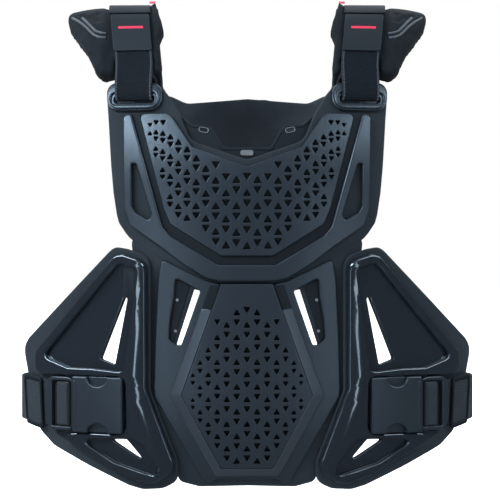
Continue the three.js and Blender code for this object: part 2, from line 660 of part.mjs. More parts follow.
// Buckle body, clip and strap stop on each side
function buckle(side) {
  const turn = side < 0 ? (points) => points : mirror;
  const name = side < 0 ? 'left' : 'right';
  const halfHeight = BUCKLE_HEIGHT / 2;
  const bodyCentre = [(clipInner + buckleInner) / 2, buckleCentreZ];
  const notch = (z) => {
    const points = [];
    for (let step = 0; step < 10; step += 1) {
      const angle = step / 10 * Math.PI * 2;
      points.push([bodyCentre[0] + THUMB_NOTCH * Math.cos(angle), z + THUMB_NOTCH * Math.sin(angle)]);
    }
    return points;
  };
  const low = floorFront + SEAM;
  const high = low + BUCKLE_THICKNESS;
  const bodyOutline = roundedBox(bodyCentre, BUCKLE_LENGTH / 2 - SEAM / 2, halfHeight, 4);
  const body = sheet(front, turn(bodyOutline), low, high, { chamfer: 1.6 });
  const notches = [halfHeight, -halfHeight].map((rise) => sheet(
    front, turn(notch(buckleCentreZ + rise)), low + BUCKLE_THICKNESS * 0.35, high + 1,
  ));
  add(`buckle_body_${name}`, body.subtract(notches[0]).subtract(notches[1]), satinBlack);

  const clipCentre = [(clipOuter + clipInner) / 2, buckleCentreZ];
  const clipLow = shellBack + STRAP_THICKNESS + SEAM;
  const clip = roundedBox(clipCentre, CLIP_LENGTH / 2 - SEAM / 2, halfHeight - 1, 3);
  const gap = roundedBox([gapCentreX, buckleCentreZ], gapHalfWidth, WAIST_STRAP_WIDTH / 2 + 1.2, 1);
  const clipCut = { holes: [turn(gap)], chamfer: 0.8 };
  const clipSheet = sheet(front, turn(clip), clipLow, clipLow + CLIP_THICKNESS, clipCut);
  add(`buckle_clip_${name}`, clipSheet, satinBlack);

  const strapFront = shellBack + STRAP_THICKNESS;
  const stopCentre = [clipOuter - 2 - STRAP_STOP_LENGTH / 2, buckleCentreZ];
  const stop = roundedBox(stopCentre, STRAP_STOP_LENGTH / 2, WAIST_STRAP_WIDTH / 2 + 3, 3);
  const stopSheet = sheet(front, turn(stop), strapFront + SEAM, strapFront + SEAM + 2.4, { chamfer: 0.8 });
  add(`strap_stop_${name}`, stopSheet, rubberBlack);
}

// Waist strap: webbing from the clip round the side to the back plate, drawn along the body's girth
const girthPitch = BODY_HALF_WIDTH;
const girth = {
  columns: [],
  rows: curvedRows,
  place: (a, z, out) => around(a / girthPitch, z, out),
};
for (let angle = -180; angle <= 180; angle += FACET_ANGLE) girth.columns.push(angle * radians * girthPitch);

function waistStrap(side) {
  const name = side < 0 ? 'left' : 'right';
  const turn = side < 0 ? (points) => points : mirror;
  const along = (x) => Math.asin(x / BODY_HALF_WIDTH) * girthPitch;
  const start = along(gapCentreX + gapHalfWidth - 0.8);
  const end = (-Math.PI - Math.asin(-0.42 * backHalfWidth / BODY_HALF_WIDTH)) * girthPitch;
  const half = WAIST_STRAP_WIDTH / 2;
  const strip = (from, to) => turn([
    [from, buckleCentreZ - half], [from, buckleCentreZ + half],
    [to, buckleCentreZ + half], [to, buckleCentreZ - half],
  ]);
  const strap = sheet(girth, strip(end, start), shellBack, shellBack + STRAP_THICKNESS);
  const rollFrom = along(gapCentreX - gapHalfWidth + 1);
  const rollTo = along(gapCentreX + gapHalfWidth - 1);
  const rollFront = shellBack + STRAP_THICKNESS + CLIP_THICKNESS + 1;
  const roll = sheet(girth, strip(rollFrom, rollTo), shellBack + STRAP_THICKNESS / 2, rollFront, { chamfer: 1.2 });
  add(`waist_strap_${name}`, strap.add(roll), webbingBlack);
}

for (const side of [-1, 1]) {
  wing(side);
  buckle(side);
  waistStrap(side);
}

// Back plate: a padded sheet and a hard plate, narrow at the waist so that the front windows stay clear
const backHalf = [
  [0, 0.01], [-0.485, 0.025], [-0.615, 0.003], [-1, 0], [-1.04, 0.025], [-1.03, 0.12], [-0.88, 0.34],
  [-0.55, 0.5], [-0.34, 0.56], [-0.34, 0.775], [-0.58, 0.81], [-0.6, 0.97], [-0.55, 1], [0, 1],
];
const backOutline = mirrored(backHalf.map(backPlace));
const backPad = sheet(back, backOutline, 0, BACK_PAD_THICKNESS, { holes: slots });
const backPlate = sheet(back, grown(backOutline, -BACK_PLATE_RIM), backPlateBack, backPlateFront,
  { holes: slots, chamfer: 1 });
add('back_pad', backPad, clothBlack);
add('back_plate', backPlate, satinBlack);

const rearRingBack = backPlateFront + SEAM;
const rearRingFront = rearRingBack + RING_THICKNESS;
ringAt('rear_ring_left', back, mirror, rearRingBack);
ringAt('rear_ring_right', back, (points) => points, rearRingBack);

// Shoulder straps: a band over the shoulder with a loop through the ring at each end
const bandHalf = STRAP_THICKNESS / 2;
const crestHeight = SHOULDER_PAD_THICKNESS + SEAM + bandHalf;
const frontRun = plateBack + RING_THICKNESS + SEAM + bandHalf;
const rearRun = rearRingFront + SEAM + bandHalf;
const innerRun = -SEAM - bandHalf - 2.1;

function ribbon(points, side, frontTurn, rearTurn) {
  const curve = new THREE.CatmullRomCurve3(points, false, 'centripetal');
  curve.arcLengthDivisions = 400;
  const length = curve.getLength();
  const steps = Math.max(6, Math.round(length / 21));
  return {
    length,
    columns: [-SHOULDER_STRAP_WIDTH / 2, SHOULDER_STRAP_WIDTH / 2],
    rows: Array.from({ length: steps - 1 }, (_, i) => (i + 1) / steps * length),
    place: (a, b, out) => {
      const share = Math.min(1, Math.max(0, b / length));
      const along = curve.getTangentAt(share);
      const turn = frontTurn + (rearTurn - frontTurn) * share;
      const across = new THREE.Vector3(side, turn, 0).normalize();
      const lift = new THREE.Vector3().crossVectors(across, along).multiplyScalar(side).normalize();
      const spill = Math.max(0, a - SHOULDER_STRAP_WIDTH / 2 - 3) / (SHOULDER_PAD_WIDTH / 2);
      const place = curve.getPointAt(share).addScaledVector(across, a).addScaledVector(lift, out);
      place.z -= PAD_DROOP * spill ** 2;
      return place;
    },
  };
}

function surfaceTurn(angle) {
  const here = around(angle, ringCentre[1], 0);
  const next = around(angle + Math.sign(angle) * 0.02 * Math.sign(Math.cos(angle)), ringCentre[1], 0);
  return (next.y - here.y) / Math.abs(next.x - here.x);
}

function shoulder(side) {
  const name = side < 0 ? 'left' : 'right';
  const ringX = Math.abs(ringCentre[0]);
  const frontAngle = side * Math.asin(ringX / BODY_HALF_WIDTH);
  const rearAngle = side * Math.PI - frontAngle;
  const atFront = (z, out) => around(frontAngle, z, out);
  const atRear = (z, out) => around(rearAngle, z, out);
  const frontTurn = surfaceTurn(frontAngle);
  const rearTurn = surfaceTurn(rearAngle);
  const x = side * SHOULDER_REACH;
  const over = [
    atFront(ringCentre[1] + 12, frontRun),
    new THREE.Vector3(x * 0.92, -CHEST_DEPTH * 0.7, ringCentre[1] + STRAP_SHOULDER_DROP),
    new THREE.Vector3(x * 0.95, -CHEST_DEPTH * 0.555, crestHeight - STRAP_SHOULDER_DROP),
    new THREE.Vector3(x * 0.975, -CHEST_DEPTH * 0.385, crestHeight - STRAP_BROW_DROP),
    new THREE.Vector3(x * 0.992, -CHEST_DEPTH * 0.19, crestHeight - STRAP_CREST_DROP),
    new THREE.Vector3(x, 0, crestHeight),
    new THREE.Vector3(x * 0.992, BACK_DEPTH * 0.22, crestHeight - STRAP_CREST_DROP),
    new THREE.Vector3(x * 0.975, BACK_DEPTH * 0.45, crestHeight - STRAP_BROW_DROP),
    new THREE.Vector3(x * 0.95, BACK_DEPTH * 0.66, crestHeight - STRAP_SHOULDER_DROP),
    new THREE.Vector3(x * 0.92, BACK_DEPTH * 0.84, ringCentre[1] + STRAP_SHOULDER_DROP),
    atRear(ringCentre[1] + 12, rearRun),
  ];
  const strapForm = ribbon(over, side, frontTurn, rearTurn);
  const half = SHOULDER_STRAP_WIDTH / 2;
  const joinAt = (end, next, top) => end.clone().lerp(next, (top + 12 - end.z) / (next.z - end.z));
  const loopPath = (at, run, join, top) => [
    join,
    at(top + 6.5, run * 0.45),
    at(top + 1, innerRun),
    at(ringCentre[1] + 6, innerRun),
    at(slotCentre[1] + 0.6, innerRun + 2.2),
    at(slotCentre[1], (innerRun + run) / 2),
    at(slotCentre[1] + 0.6, run - 2.2),
    at(ringCentre[1] + 5, run),
    at(ringCentre[1] + 14, run),
  ];
  const whole = grid(strapForm, [-half, half], [0, ...strapForm.rows, strapForm.length], -bandHalf, bandHalf);
  const loops = [
    [loopPath(atFront, frontRun, joinAt(over[0], over[1], carrierTop), carrierTop), frontTurn],
    [loopPath(atRear, rearRun, joinAt(over[10], over[9], BACK_TOP), BACK_TOP), rearTurn],
  ].map(([path, turn]) => {
    const form = ribbon(path, side, turn, turn);
    form.rows = Array.from({ length: LOOP_FACETS - 1 }, (_, i) => (i + 1) / LOOP_FACETS * form.length);
    const columns = [0.4 - half, half - 0.4];
    return grid(form, columns, [0, ...form.rows, form.length], -bandHalf * 0.9, bandHalf * 0.9);
  });
  return { name, side, strapForm, whole, loops };
}

// Shoulder pads and what lies on the straps
function shoulderParts({ name, side, strapForm, whole, loops }) {
  const strap = loops.reduce((joined, loop) => joined.add(loop), whole);
  add(`shoulder_strap_${name}`, strap, webbingBlack);

  const outer = SHOULDER_PAD_WIDTH * 0.64;
  const inner = SHOULDER_PAD_WIDTH * 0.28;
  const beside = SHOULDER_STRAP_WIDTH / 2 + 1.5;
  const padPoints = [
    [-inner, 0.05], [-beside, 0.05], [-beside, 0.11], [beside, 0.11], [beside, 0.05], [outer * 0.56, 0.04],
    [outer * 0.66, 0.07], [outer * 0.97, 0.33], [outer, 0.4],
    [outer * 0.97, 0.54], [outer * 0.8, 0.68], [outer * 0.55, 0.75], [-inner * 0.8, 0.76],
    [-inner, 0.46], [-inner * 1.14, 0.34], [-inner * 1.26, 0.25], [-inner * 1.06, 0.2],
  ].map(([a, share]) => [a, share * strapForm.length]);
  const padColumns = [...strapForm.columns, SHOULDER_STRAP_WIDTH / 2 + 8, SHOULDER_PAD_WIDTH * 0.47];
  const padForm = { ...strapForm, columns: padColumns };
  const padFront = -bandHalf - SEAM;
  const pad = sheet(padForm, padPoints, padFront - SHOULDER_PAD_THICKNESS, padFront, { chamfer: 2.5 });
  add(`shoulder_pad_${name}`, pad, clothBlack);

  const bandTop = bandHalf + SEAM;
  const strip = (halfWidth, from, to) => roundedBox(
    [0, (from + to) / 2 * strapForm.length], halfWidth, (to - from) / 2 * strapForm.length, 2,
  );
  const tabStrip = strip(SHOULDER_STRAP_WIDTH / 2 + 0.5, 0.13, 0.375);
  const tab = sheet(strapForm, tabStrip, bandTop, bandTop + TAB_THICKNESS, { chamfer: 0.5 });
  add(`strap_tab_${name}`, tab, tabGrey);
  const keeperStrip = strip(SHOULDER_STRAP_WIDTH / 2 + 2, 0.395, 0.49);
  const keeper = sheet(strapForm, keeperStrip, bandTop, bandTop + KEEPER_THICKNESS, { chamfer: 0.6 });
  add(`strap_keeper_${name}`, keeper, rubberBlack);
  const tagCentre = [-SHOULDER_STRAP_WIDTH / 2 - 1.2 - TAG_LENGTH / 2, 0.45 * strapForm.length];
  const tagOutline = roundedBox(tagCentre, TAG_LENGTH / 2, TAG_LENGTH / 2, 0.5, 1);
  const tag = sheet(strapForm, tagOutline, padFront + SEAM, padFront + SEAM + 1.2);
  add(`edge_tag_${name}`, tag, tagRed);
}

for (const side of [-1, 1]) shoulderParts(shoulder(side));

export default guard;
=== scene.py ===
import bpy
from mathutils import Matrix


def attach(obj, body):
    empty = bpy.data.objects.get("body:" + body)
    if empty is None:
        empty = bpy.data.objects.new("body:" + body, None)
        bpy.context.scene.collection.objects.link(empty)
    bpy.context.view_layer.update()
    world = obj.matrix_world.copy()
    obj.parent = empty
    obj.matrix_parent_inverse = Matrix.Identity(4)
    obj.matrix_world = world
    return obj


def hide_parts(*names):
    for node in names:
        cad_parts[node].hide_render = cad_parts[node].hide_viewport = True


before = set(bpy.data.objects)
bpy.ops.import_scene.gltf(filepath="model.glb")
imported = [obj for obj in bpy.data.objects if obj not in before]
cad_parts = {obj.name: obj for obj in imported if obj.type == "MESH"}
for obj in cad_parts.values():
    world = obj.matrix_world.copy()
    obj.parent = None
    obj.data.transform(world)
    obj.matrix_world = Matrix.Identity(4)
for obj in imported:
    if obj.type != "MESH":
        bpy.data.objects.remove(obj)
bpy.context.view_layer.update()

import math

import bmesh
import bpy
from mathutils import Vector
from mathutils.bvhtree import BVHTree
from mathutils.geometry import delaunay_2d_cdt
from mathutils.kdtree import KDTree

# The photographer's set: a pale floor before a plain white background, with large soft lights in front,
# at both sides and above. The camera stands level with the middle of the guard.
scene = bpy.context.scene
CAMERA_PLACE = (0.00276, -1.780, -0.220)
CAMERA_LENS = 129.1
camera = bpy.data.objects.new("camera", bpy.data.cameras.new("camera"))
camera.data.lens = CAMERA_LENS
camera.data.clip_end = 20
camera.location = CAMERA_PLACE
camera.rotation_euler = (math.pi / 2, 0, 0)
scene.collection.objects.link(camera)
scene.camera = camera
scene.view_settings.view_transform = "Standard"

FLOOR_LEVEL = -0.452
FLOOR_REACH = 9.0


class Value:
    """A value in a finish: a sum on it adds the Math node that works it out."""

    def __init__(self, finish, socket):
        self.finish = finish
        self.socket = socket

    def math(self, operation, *others):
        return self.finish.node("Math", {"operation": operation}, dict(enumerate((self, *others))))

    def __add__(self, other):
        return self.math("ADD", other)

    def __sub__(self, other):
        return self.math("SUBTRACT", other)

    def __mul__(self, other):
        return self.math("MULTIPLY", other)

    def __lt__(self, limit):
        return self.math("LESS_THAN", limit)

    def __mod__(self, step):
        return self.math("FLOORED_MODULO", step)

    def __abs__(self):
        return self.math("ABSOLUTE")

    def wave(self, pitch):
        return (self * (2 * math.pi / pitch)).math("SINE")

    def ramp(self, low, high):
        """0 below low, 1 above high, and smooth between them."""
        return self.finish.node(
            "MapRange", {"interpolation_type": "SMOOTHSTEP"}, {0: self, 1: low, 2: high, 3: 0.0, 4: 1.0})


class Finish:
    """A material with its own constants, and one method that adds any other node."""

    def __init__(self, name, colour, roughness, **constants):
        self.material = bpy.data.materials.new(name)
        self.material.use_nodes = True
        self.tree = self.material.node_tree
        self.shader = self.tree.nodes["Principled BSDF"]
        self.colour = colour
        self.set("Base Color", (*colour, 1))
        self.set("Roughness", roughness)
        self.set("Specular Tint", (0.66, 0.84, 1.0, 1))
        for socket, value in constants.items():
            self.set(socket.replace("_", " ").title().replace("Ior", "IOR"), value)

    def feed(self, socket, value):
        if isinstance(value, Value):
            self.tree.links.new(value.socket, socket)
        else:
            socket.default_value = value

    def set(self, socket, value):
        self.feed(self.shader.inputs[socket], value)

    def node(self, kind, settings, sockets, output=0):
        made = self.tree.nodes.new("ShaderNode" + kind)
        for name, value in settings.items():
            setattr(made, name, value)
        for name, value in sockets.items():
            self.feed(made.inputs[name], value)
        return Value(self, made.outputs[output])

    def place(self):
        return self.node("TexCoord", {}, {}, "Object")

    def noise(self, scale, detail=2.0, stretch=(1, 1, 1)):
        spot = self.node("Mapping", {}, {"Vector": self.place(), "Scale": stretch})
        return self.node("TexNoise", {}, {"Vector": spot, "Scale": scale, "Detail": detail})

    def drawn(self):
        """Where a point lies on the sheet before it was formed, in mm across and along."""
        flat = self.node("UVMap", {"uv_map": "drawn"}, {})
        parts = [self.node("SeparateXYZ", {}, {0: flat}, axis) for axis in (0, 1)]
        return [part * UV_SIZE for part in parts]

    def blend(self, share, other):
        """The finish's colour turning to another where share is 1."""
        self.set("Base Color", self.node(
            "Mix", {"data_type": "RGBA"}, {0: share, 6: (*self.colour, 1), 7: (*other, 1)}, 2))

    def cloudy(self, scale, swing, least, detail=2.0):
        """Roughness that a noise takes from least up to least + swing."""
        self.set("Roughness", self.noise(scale, detail) * swing + least)

    def relief(self, height, depth):
        self.set("Normal", self.node("Bump", {}, {"Height": height, "Distance": depth, "Strength": 1.0}))


UV_SIZE = 500
floor_finish = Finish("studio_floor", (0.90, 0.90, 0.90), 0.75, emission_strength=0.85)
floor_finish.set("Emission Color", (1, 1, 1, 1))
floor_finish.cloudy(3.0, 0.1, 0.7)
bm = bmesh.new()
bmesh.ops.create_grid(bm, x_segments=1, y_segments=1, size=FLOOR_REACH)
bmesh.ops.translate(bm, verts=bm.verts, vec=(0, 0, FLOOR_LEVEL))
mesh = bpy.data.meshes.new("studio_floor")
bm.to_mesh(mesh)
mesh.materials.append(floor_finish.material)
ground = bpy.data.objects.new("studio_floor", mesh)
scene.collection.objects.link(ground)
ground.visible_glossy = False

ROOM_COLOUR = (0.90, 0.94, 1, 1)
ROOM_STRENGTH = 0.17
world = bpy.data.worlds.new("studio")
world.use_nodes = True
nodes = world.node_tree.nodes
room, seen = nodes["Background"], nodes.new("ShaderNodeBackground")
room.inputs["Color"].default_value = ROOM_COLOUR
room.inputs["Strength"].default_value = ROOM_STRENGTH
seen.inputs["Color"].default_value = (1, 1, 1, 1)
seen.inputs["Strength"].default_value = 1.0
ray, either = nodes.new("ShaderNodeLightPath"), nodes.new("ShaderNodeMixShader")
links = world.node_tree.links
links.new(ray.outputs["Is Camera Ray"], either.inputs[0])
links.new(room.outputs[0], either.inputs[1])
links.new(seen.outputs[0], either.inputs[2])
links.new(either.outputs[0], nodes["World Output"].inputs["Surface"])
scene.world = world
LAMP_COLOUR = (0.84, 0.93, 1.0)
GUARD_MIDDLE = Vector((0, 0, -0.2))
LIGHTS = (
    ("key", (-1.35, -0.85, 0.85), (1.7, 0.5), 84),
    ("fill", (1.40, -0.85, 0.90), (1.6, 0.5), 34),
    ("left_strip", (-0.85, -1.50, -0.30), (0.26, 0.6), 3.8),
    ("right_strip", (0.85, -1.50, -0.30), (0.26, 0.6), 3.2),
    ("left_rim", (-1.30, 0.45, 0.95), (0.20, 1.1), 7),
    ("right_rim", (1.30, 0.45, 0.95), (0.20, 1.1), 7),
    ("above", (0.0, 0.10, 2.1), (2.4, 2.4), 19),
    ("far_floor", (0.0, 3.2, 2.0), (4.5, 2.0), 110),
    ("near_floor", (0.0, -2.4, 1.6), (2.0, 0.6), 16),
)
for name, place, (width, height), power in LIGHTS:
    lamp = bpy.data.lights.new(name, "AREA")
    lamp.shape = "RECTANGLE"
    lamp.size = width
    lamp.size_y = height
    lamp.energy = power
    lamp.color = LAMP_COLOUR
    light = bpy.data.objects.new(name, lamp)
    light.location = place
    if name.endswith("floor") or name == "above":
        aim = Vector((0, 0, -1))
    else:
        aim = GUARD_MIDDLE - Vector(place)
    light.rotation_euler = aim.to_track_quat("-Z", "Y").to_euler()
    scene.collection.objects.link(light)

# Chest carrier: a sheet of dense cloth-faced foam, cut to shape and heat formed round the chest.
# Everything on the chest is riveted to it. Its edge is pressed thin and rounded.
BODY_HALF_WIDTH = 222.0
CHEST_DEPTH = 130.0
BACK_DEPTH = 112.0
CHEST_TOP = -93.5
CHEST_HALF_WIDTH = 112.0
CHEST_HEIGHT = 155.0
BACK_LEAN = (-150, 700)
CHEST_LEAN = (-170, 425)
BELLY_LEAN = (-350, 910)
MM = 0.001


def around(angle, z, out):
    """A point out from the oval body, which leans back above the first and below the last level."""
    depth = BACK_DEPTH if math.cos(angle) < 0 else CHEST_DEPTH
    x = BODY_HALF_WIDTH * math.sin(angle)
    y = -depth * math.cos(angle)
    facing = Vector((x / BODY_HALF_WIDTH ** 2, y / depth ** 2)).normalized()
    if math.cos(angle) < 0:
        lean = max(0, z - BACK_LEAN[0]) ** 2 / BACK_LEAN[1]
    else:
        lean = (max(0, z - CHEST_LEAN[0]) ** 2 / CHEST_LEAN[1]
                + min(0, z - BELLY_LEAN[0]) ** 2 / BELLY_LEAN[1])
    return Vector((x + out * facing.x, y + out * facing.y + lean * math.cos(angle), z))


def side_angle(x):
    return math.asin(max(-0.999, min(0.999, x / BODY_HALF_WIDTH)))


def on_front(x, z, out):
    return around(side_angle(x), z, out)


def on_back(x, z, out):
    return around(math.pi + side_angle(x), z, out)


def chest_place(point):
    return (point[0] * CHEST_HALF_WIDTH, CHEST_TOP - point[1] * CHEST_HEIGHT)


def placed(place, points):
    return [place(point) for point in points]


def mirror(loop):
    return [(-x, y) for x, y in reversed(loop)]


def as_it_is(loop):
    return loop


HANDS = (("left", as_it_is), ("right", mirror))


def both(loop):
    return [loop, mirror(loop)]


def whole(half):
    """A symmetric outline from its left half, whose ends lie on the middle line."""
    return half + [(-x, y) for x, y in reversed(half) if abs(x) > 1e-6]


def eased(loop, radius, steps=5):
    """An outline with its corners rounded, as far as its edges let them be."""
    made = []
    for before, corner, after in zip(loop[-1:] + loop[:-1], loop, loop[1:] + loop[:1]):
        to_before, to_after = Vector(before) - Vector(corner), Vector(after) - Vector(corner)
        turn = math.pi - to_before.angle(to_after)
        reach = min(radius * math.tan(turn / 2), to_before.length * 0.48, to_after.length * 0.48)
        if turn < 0.05 or reach < 0.05:
            made.append(corner)
            continue
        start = Vector(corner) + to_before.normalized() * reach
        end = Vector(corner) + to_after.normalized() * reach
        count = max(2, math.ceil(steps * turn / 1.6))
        for step in range(count + 1):
            share = step / count
            spot = start * (1 - share) ** 2 + Vector(corner) * 2 * share * (1 - share) + end * share ** 2
            made.append((spot.x, spot.y))
    return made


def box(centre, half_width, half_height, radius):
    x, y = centre
    return eased([(x - half_width, y - half_height), (x + half_width, y - half_height),
                  (x + half_width, y + half_height), (x - half_width, y + half_height)], radius)


MANY_LOOPS = 8
TRIANGLES_INSIDE = 1
LOOSE = 1e-3


def filled_anew(flat, half_thick):
    """Fills both faces of a sheet again, because the curve's own filling goes wrong among many holes."""
    crude = [face for face in flat.faces if all(abs(vert.co.z) > half_thick - LOOSE for vert in face.verts)]
    bmesh.ops.delete(flat, geom=crude, context="FACES")
    open_edges = [edge for edge in flat.edges if edge.is_boundary]
    for level in (-1, 1):
        border = [edge for edge in open_edges if edge.verts[0].co.z * level > 0]
        corners = list(dict.fromkeys(vert for edge in border for vert in edge.verts))
        order = {vert: index for index, vert in enumerate(corners)}
        pairs = [tuple(order[vert] for vert in edge.verts) for edge in border]
        neighbours = {vert: [] for vert in corners}
        for edge in border:
            for vert in edge.verts:
                neighbours[vert].append(edge.other_vert(vert))
        loop_of = {}
        for first in corners:
            waiting = [] if first in loop_of else [first]
            while waiting:
                vert = waiting.pop()
                loop_of[vert] = first
                waiting += [other for other in neighbours[vert] if other not in loop_of]
        outline = loop_of[max(corners, key=lambda vert: vert.co.x)]
        cap = delaunay_2d_cdt([vert.co.xy for vert in corners], pairs, [], TRIANGLES_INSIDE, 1e-6)
        for face in cap[2]:
            verts = [corners[cap[3][index][0]] for index in face]
            owners = {loop_of[vert] for vert in verts}
            if len(owners) > 1 or outline in owners:
                flat.faces.new(verts)


def cut(loops, low, high, edge=0.6, segments=3, inset=0):
    """A flat sheet in mm with holes, its edges rounded, between two levels."""
    curve = bpy.data.curves.new("outline", "CURVE")
    curve.dimensions = "2D"
    curve.fill_mode = "BOTH"
    curve.extrude = (high - low) / 2 - edge
    curve.bevel_depth = edge
    curve.bevel_resolution = segments - 1
    curve.offset = -edge - inset
    for loop in loops:
        spline = curve.splines.new("POLY")
        spline.points.add(len(loop) - 1)
        for point, (x, y) in zip(spline.points, loop):
            point.co = (x, y, 0, 1)
        spline.use_cyclic_u = True
    outline = bpy.data.objects.new("outline", curve)
    scene.collection.objects.link(outline)
    flat = bmesh.new()
    flat.from_mesh(outline.evaluated_get(bpy.context.evaluated_depsgraph_get()).to_mesh())
    bpy.data.objects.remove(outline)
    bpy.data.curves.remove(curve)
    bmesh.ops.remove_doubles(flat, verts=flat.verts, dist=LOOSE)
    if len(loops) > MANY_LOOPS:
        filled_anew(flat, (high - low) / 2)
    bmesh.ops.translate(flat, verts=flat.verts, vec=(0, 0, (low + high) / 2))
    return flat


def together(*flats):
    for other in flats[1:]:
        spare = bpy.data.meshes.new("spare")
        other.to_mesh(spare)
        flats[0].from_mesh(spare)
        bpy.data.meshes.remove(spare)
    return flats[0]


def folded(flat, across, along):
    """Cuts a flat sheet into a grid, so that it can bend."""
    for axis, step in ((0, across), (1, along)):
        reach = [vert.co[axis] for vert in flat.verts]
        normal = Vector((1 - axis, axis, 0))
        for line in range(math.ceil(min(reach) / step), math.floor(max(reach) / step) + 1):
            bmesh.ops.bisect_plane(
                flat, geom=flat.verts[:] + flat.edges[:] + flat.faces[:], dist=1e-4,
                plane_co=normal * line * step, plane_no=normal)
    return flat


def shaped(flat, form):
    """Forms a flat sheet in its place, and keeps where each point was drawn."""
    layer = flat.loops.layers.uv.new("drawn")
    for face in flat.faces:
        for loop in face.loops:
            loop[layer].uv = loop.vert.co.xy / UV_SIZE
    for vert in flat.verts:
        vert.co = form(*vert.co) * MM
    bmesh.ops.recalc_face_normals(flat, faces=flat.faces)
    return flat


def made_piece(name, solid, finish, nodes=(), sharp=42):
    """Makes a piece of a closed mesh: smooth faces, sharp creases, its finish and its place in the part."""
    for face in solid.faces:
        face.smooth = True
    solid.normal_update()
    for edge in solid.edges:
        edge.smooth = len(edge.link_faces) == 2 and edge.calc_face_angle(0) < math.radians(sharp)
    mesh = bpy.data.meshes.new(name)
    solid.to_mesh(mesh)
    mesh.materials.append(finish.material)
    made = bpy.data.objects.new(name, mesh)
    scene.collection.objects.link(made)
    made.modifiers.new("even_faces", "WEIGHTED_NORMAL").keep_sharp = True
    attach(made, "root")
    if nodes:
        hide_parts(*nodes)


def formed(name, flat, form, finish, nodes=()):
    made_piece(name, shaped(flat, form), finish, nodes)


foam = Finish("moulded_foam", (0.0068, 0.0086, 0.0108), 0.82, sheen_weight=0.02, sheen_roughness=0.5,
              specular_ior_level=0.22)
foam.blend(foam.noise(9.0, 3.0).ramp(0.35, 0.75) * 0.5, (0.0135, 0.0160, 0.0190))
foam.cloudy(60.0, 0.2, 0.72)
foam.relief(foam.noise(1500.0, 3.0) + foam.noise(90.0) * 2.0, 0.00010)

CARRIER_FRONT = 5.0
SEAM = 0.3
RING_CENTRE = chest_place((-0.92, -0.108))
SLOT_CENTRE = (RING_CENTRE[0], RING_CENTRE[1] - 2.7)
SLOT_HALF = (18.3, 3.4)
ring_slot = box(SLOT_CENTRE, *SLOT_HALF, 3.2)
ring_slots = both(ring_slot)
carrier_half = [
    (0, 0.281), (-0.413, 0.177), (-0.471, 0.147), (-0.548, 0.012), (-0.652, -0.115), (-0.704, -0.162),
    (-0.756, -0.194), (-1.106, -0.201), (-1.144, -0.184), (-1.168, -0.149), (-1.144, 0.043), (-1.118, 0.31),
    (-1.097, 0.474), (-1.07, 0.603), (-1.051, 0.655), (-0.996, 0.714), (-0.959, 0.747), (-0.694, 0.875),
    (-0.222, 1.018), (0, 1.018),
]
carrier_outline = eased(whole(placed(chest_place, carrier_half)), 12)
formed("chest_foam", folded(cut([carrier_outline] + ring_slots, 0, CARRIER_FRONT, 1.6), 8, 10), on_front,
       foam, ["chest_carrier"])

# Chest frame: one hard injection-moulded frame with a fine satin grain, open at the top, with a
# triangular window in each arm. Its edges are well rounded and it is riveted through the foam.
PLATE_BACK = CARRIER_FRONT + SEAM
FRAME_FRONT = PLATE_BACK + 5.5


def satin(name, colour, roughness):
    """Satin black plastic: a fine moulded grain, cloudy gloss and a few faint scuffs."""
    made = Finish(name, colour, roughness, specular_ior_level=0.42)
    scuffs = made.noise(55.0, 5.0, (1, 1, 0.16)).ramp(0.66, 0.76) * made.noise(11.0).ramp(0.5, 0.7)
    made.blend(scuffs * 0.5, tuple(part * 2.6 for part in colour))
    made.set("Roughness", made.noise(14.0, 3.0) * 0.12 + scuffs * 0.15 + (roughness - 0.06))
    made.relief(made.noise(2600.0, 2.0) * 0.6 + made.noise(420.0) * 0.5, 0.000045)
    return made


plate = satin("satin_plate", (0.0070, 0.0092, 0.0125), 0.36)
chest_frame_half = [
    (0, 0.904), (-0.231, 0.904), (-0.616, 0.732), (-0.679, 0.675), (-0.935, 0), (-0.97, 0), (-0.999, 0.02),
    (-0.987, 0.571), (-0.946, 0.67), (-0.7, 0.795), (-0.5125, 0.9), (-0.327, 0.982), (-0.219, 1), (0, 1),
]
frame_window = eased(placed(chest_place, [
    (-0.929, 0.3), (-0.892, 0.3), (-0.766, 0.605), (-0.783, 0.641), (-0.896, 0.592), (-0.923, 0.559),
]), 2.5)
chest_frame = eased(whole(placed(chest_place, chest_frame_half)), 7)
formed("chest_hard_frame",
       folded(cut([chest_frame, *both(frame_window)], PLATE_BACK, FRAME_FRONT, 1.5, 4), 7, 9),
       on_front, plate, ["chest_frame"])

# Channel: a strip of soft matte rubber let into the chest between the frame and the vented panel.
rubber = Finish("matte_rubber", (0.0036, 0.0044, 0.0056), 0.70, specular_ior_level=0.14)
rubber.cloudy(40.0, 0.16, 0.58, 3.0)
rubber.relief(rubber.noise(900.0, 3.0), 0.00006)
channel_half = [
    (0, 0.850), (-0.208, 0.850), (-0.614, 0.662), (-0.668, 0.565), (-0.868, 0.006), (-0.936, 0.006),
    (-0.680, 0.675), (-0.616, 0.733), (-0.231, 0.905), (0, 0.905),
]
channel = whole(placed(chest_place, channel_half))
formed("chest_rubber_channel", folded(cut([channel], PLATE_BACK, PLATE_BACK + 2, 0.3, 2), 7, 12), on_front,
       rubber, ["chest_channel"])

# Vented panel: a thin moulded plate pierced by rows of triangles that point up and down in turn.
# The rows draw together towards the sides, and each hole has a small rounded lip.
CHEST_PANEL_FRONT = PLATE_BACK + 4.5
LEAST_BAR = 2.2
VENT_CORNER = 0.8
WIDEST_TURN = 1.2


def inside(point, outline):
    within = False
    for (x, y), (next_x, next_y) in zip(outline, outline[1:] + outline[:1]):
        if (y > point[1]) != (next_y > point[1]):
            if point[0] < (next_x - x) * (point[1] - y) / (next_y - y) + x:
                within = not within
    return within


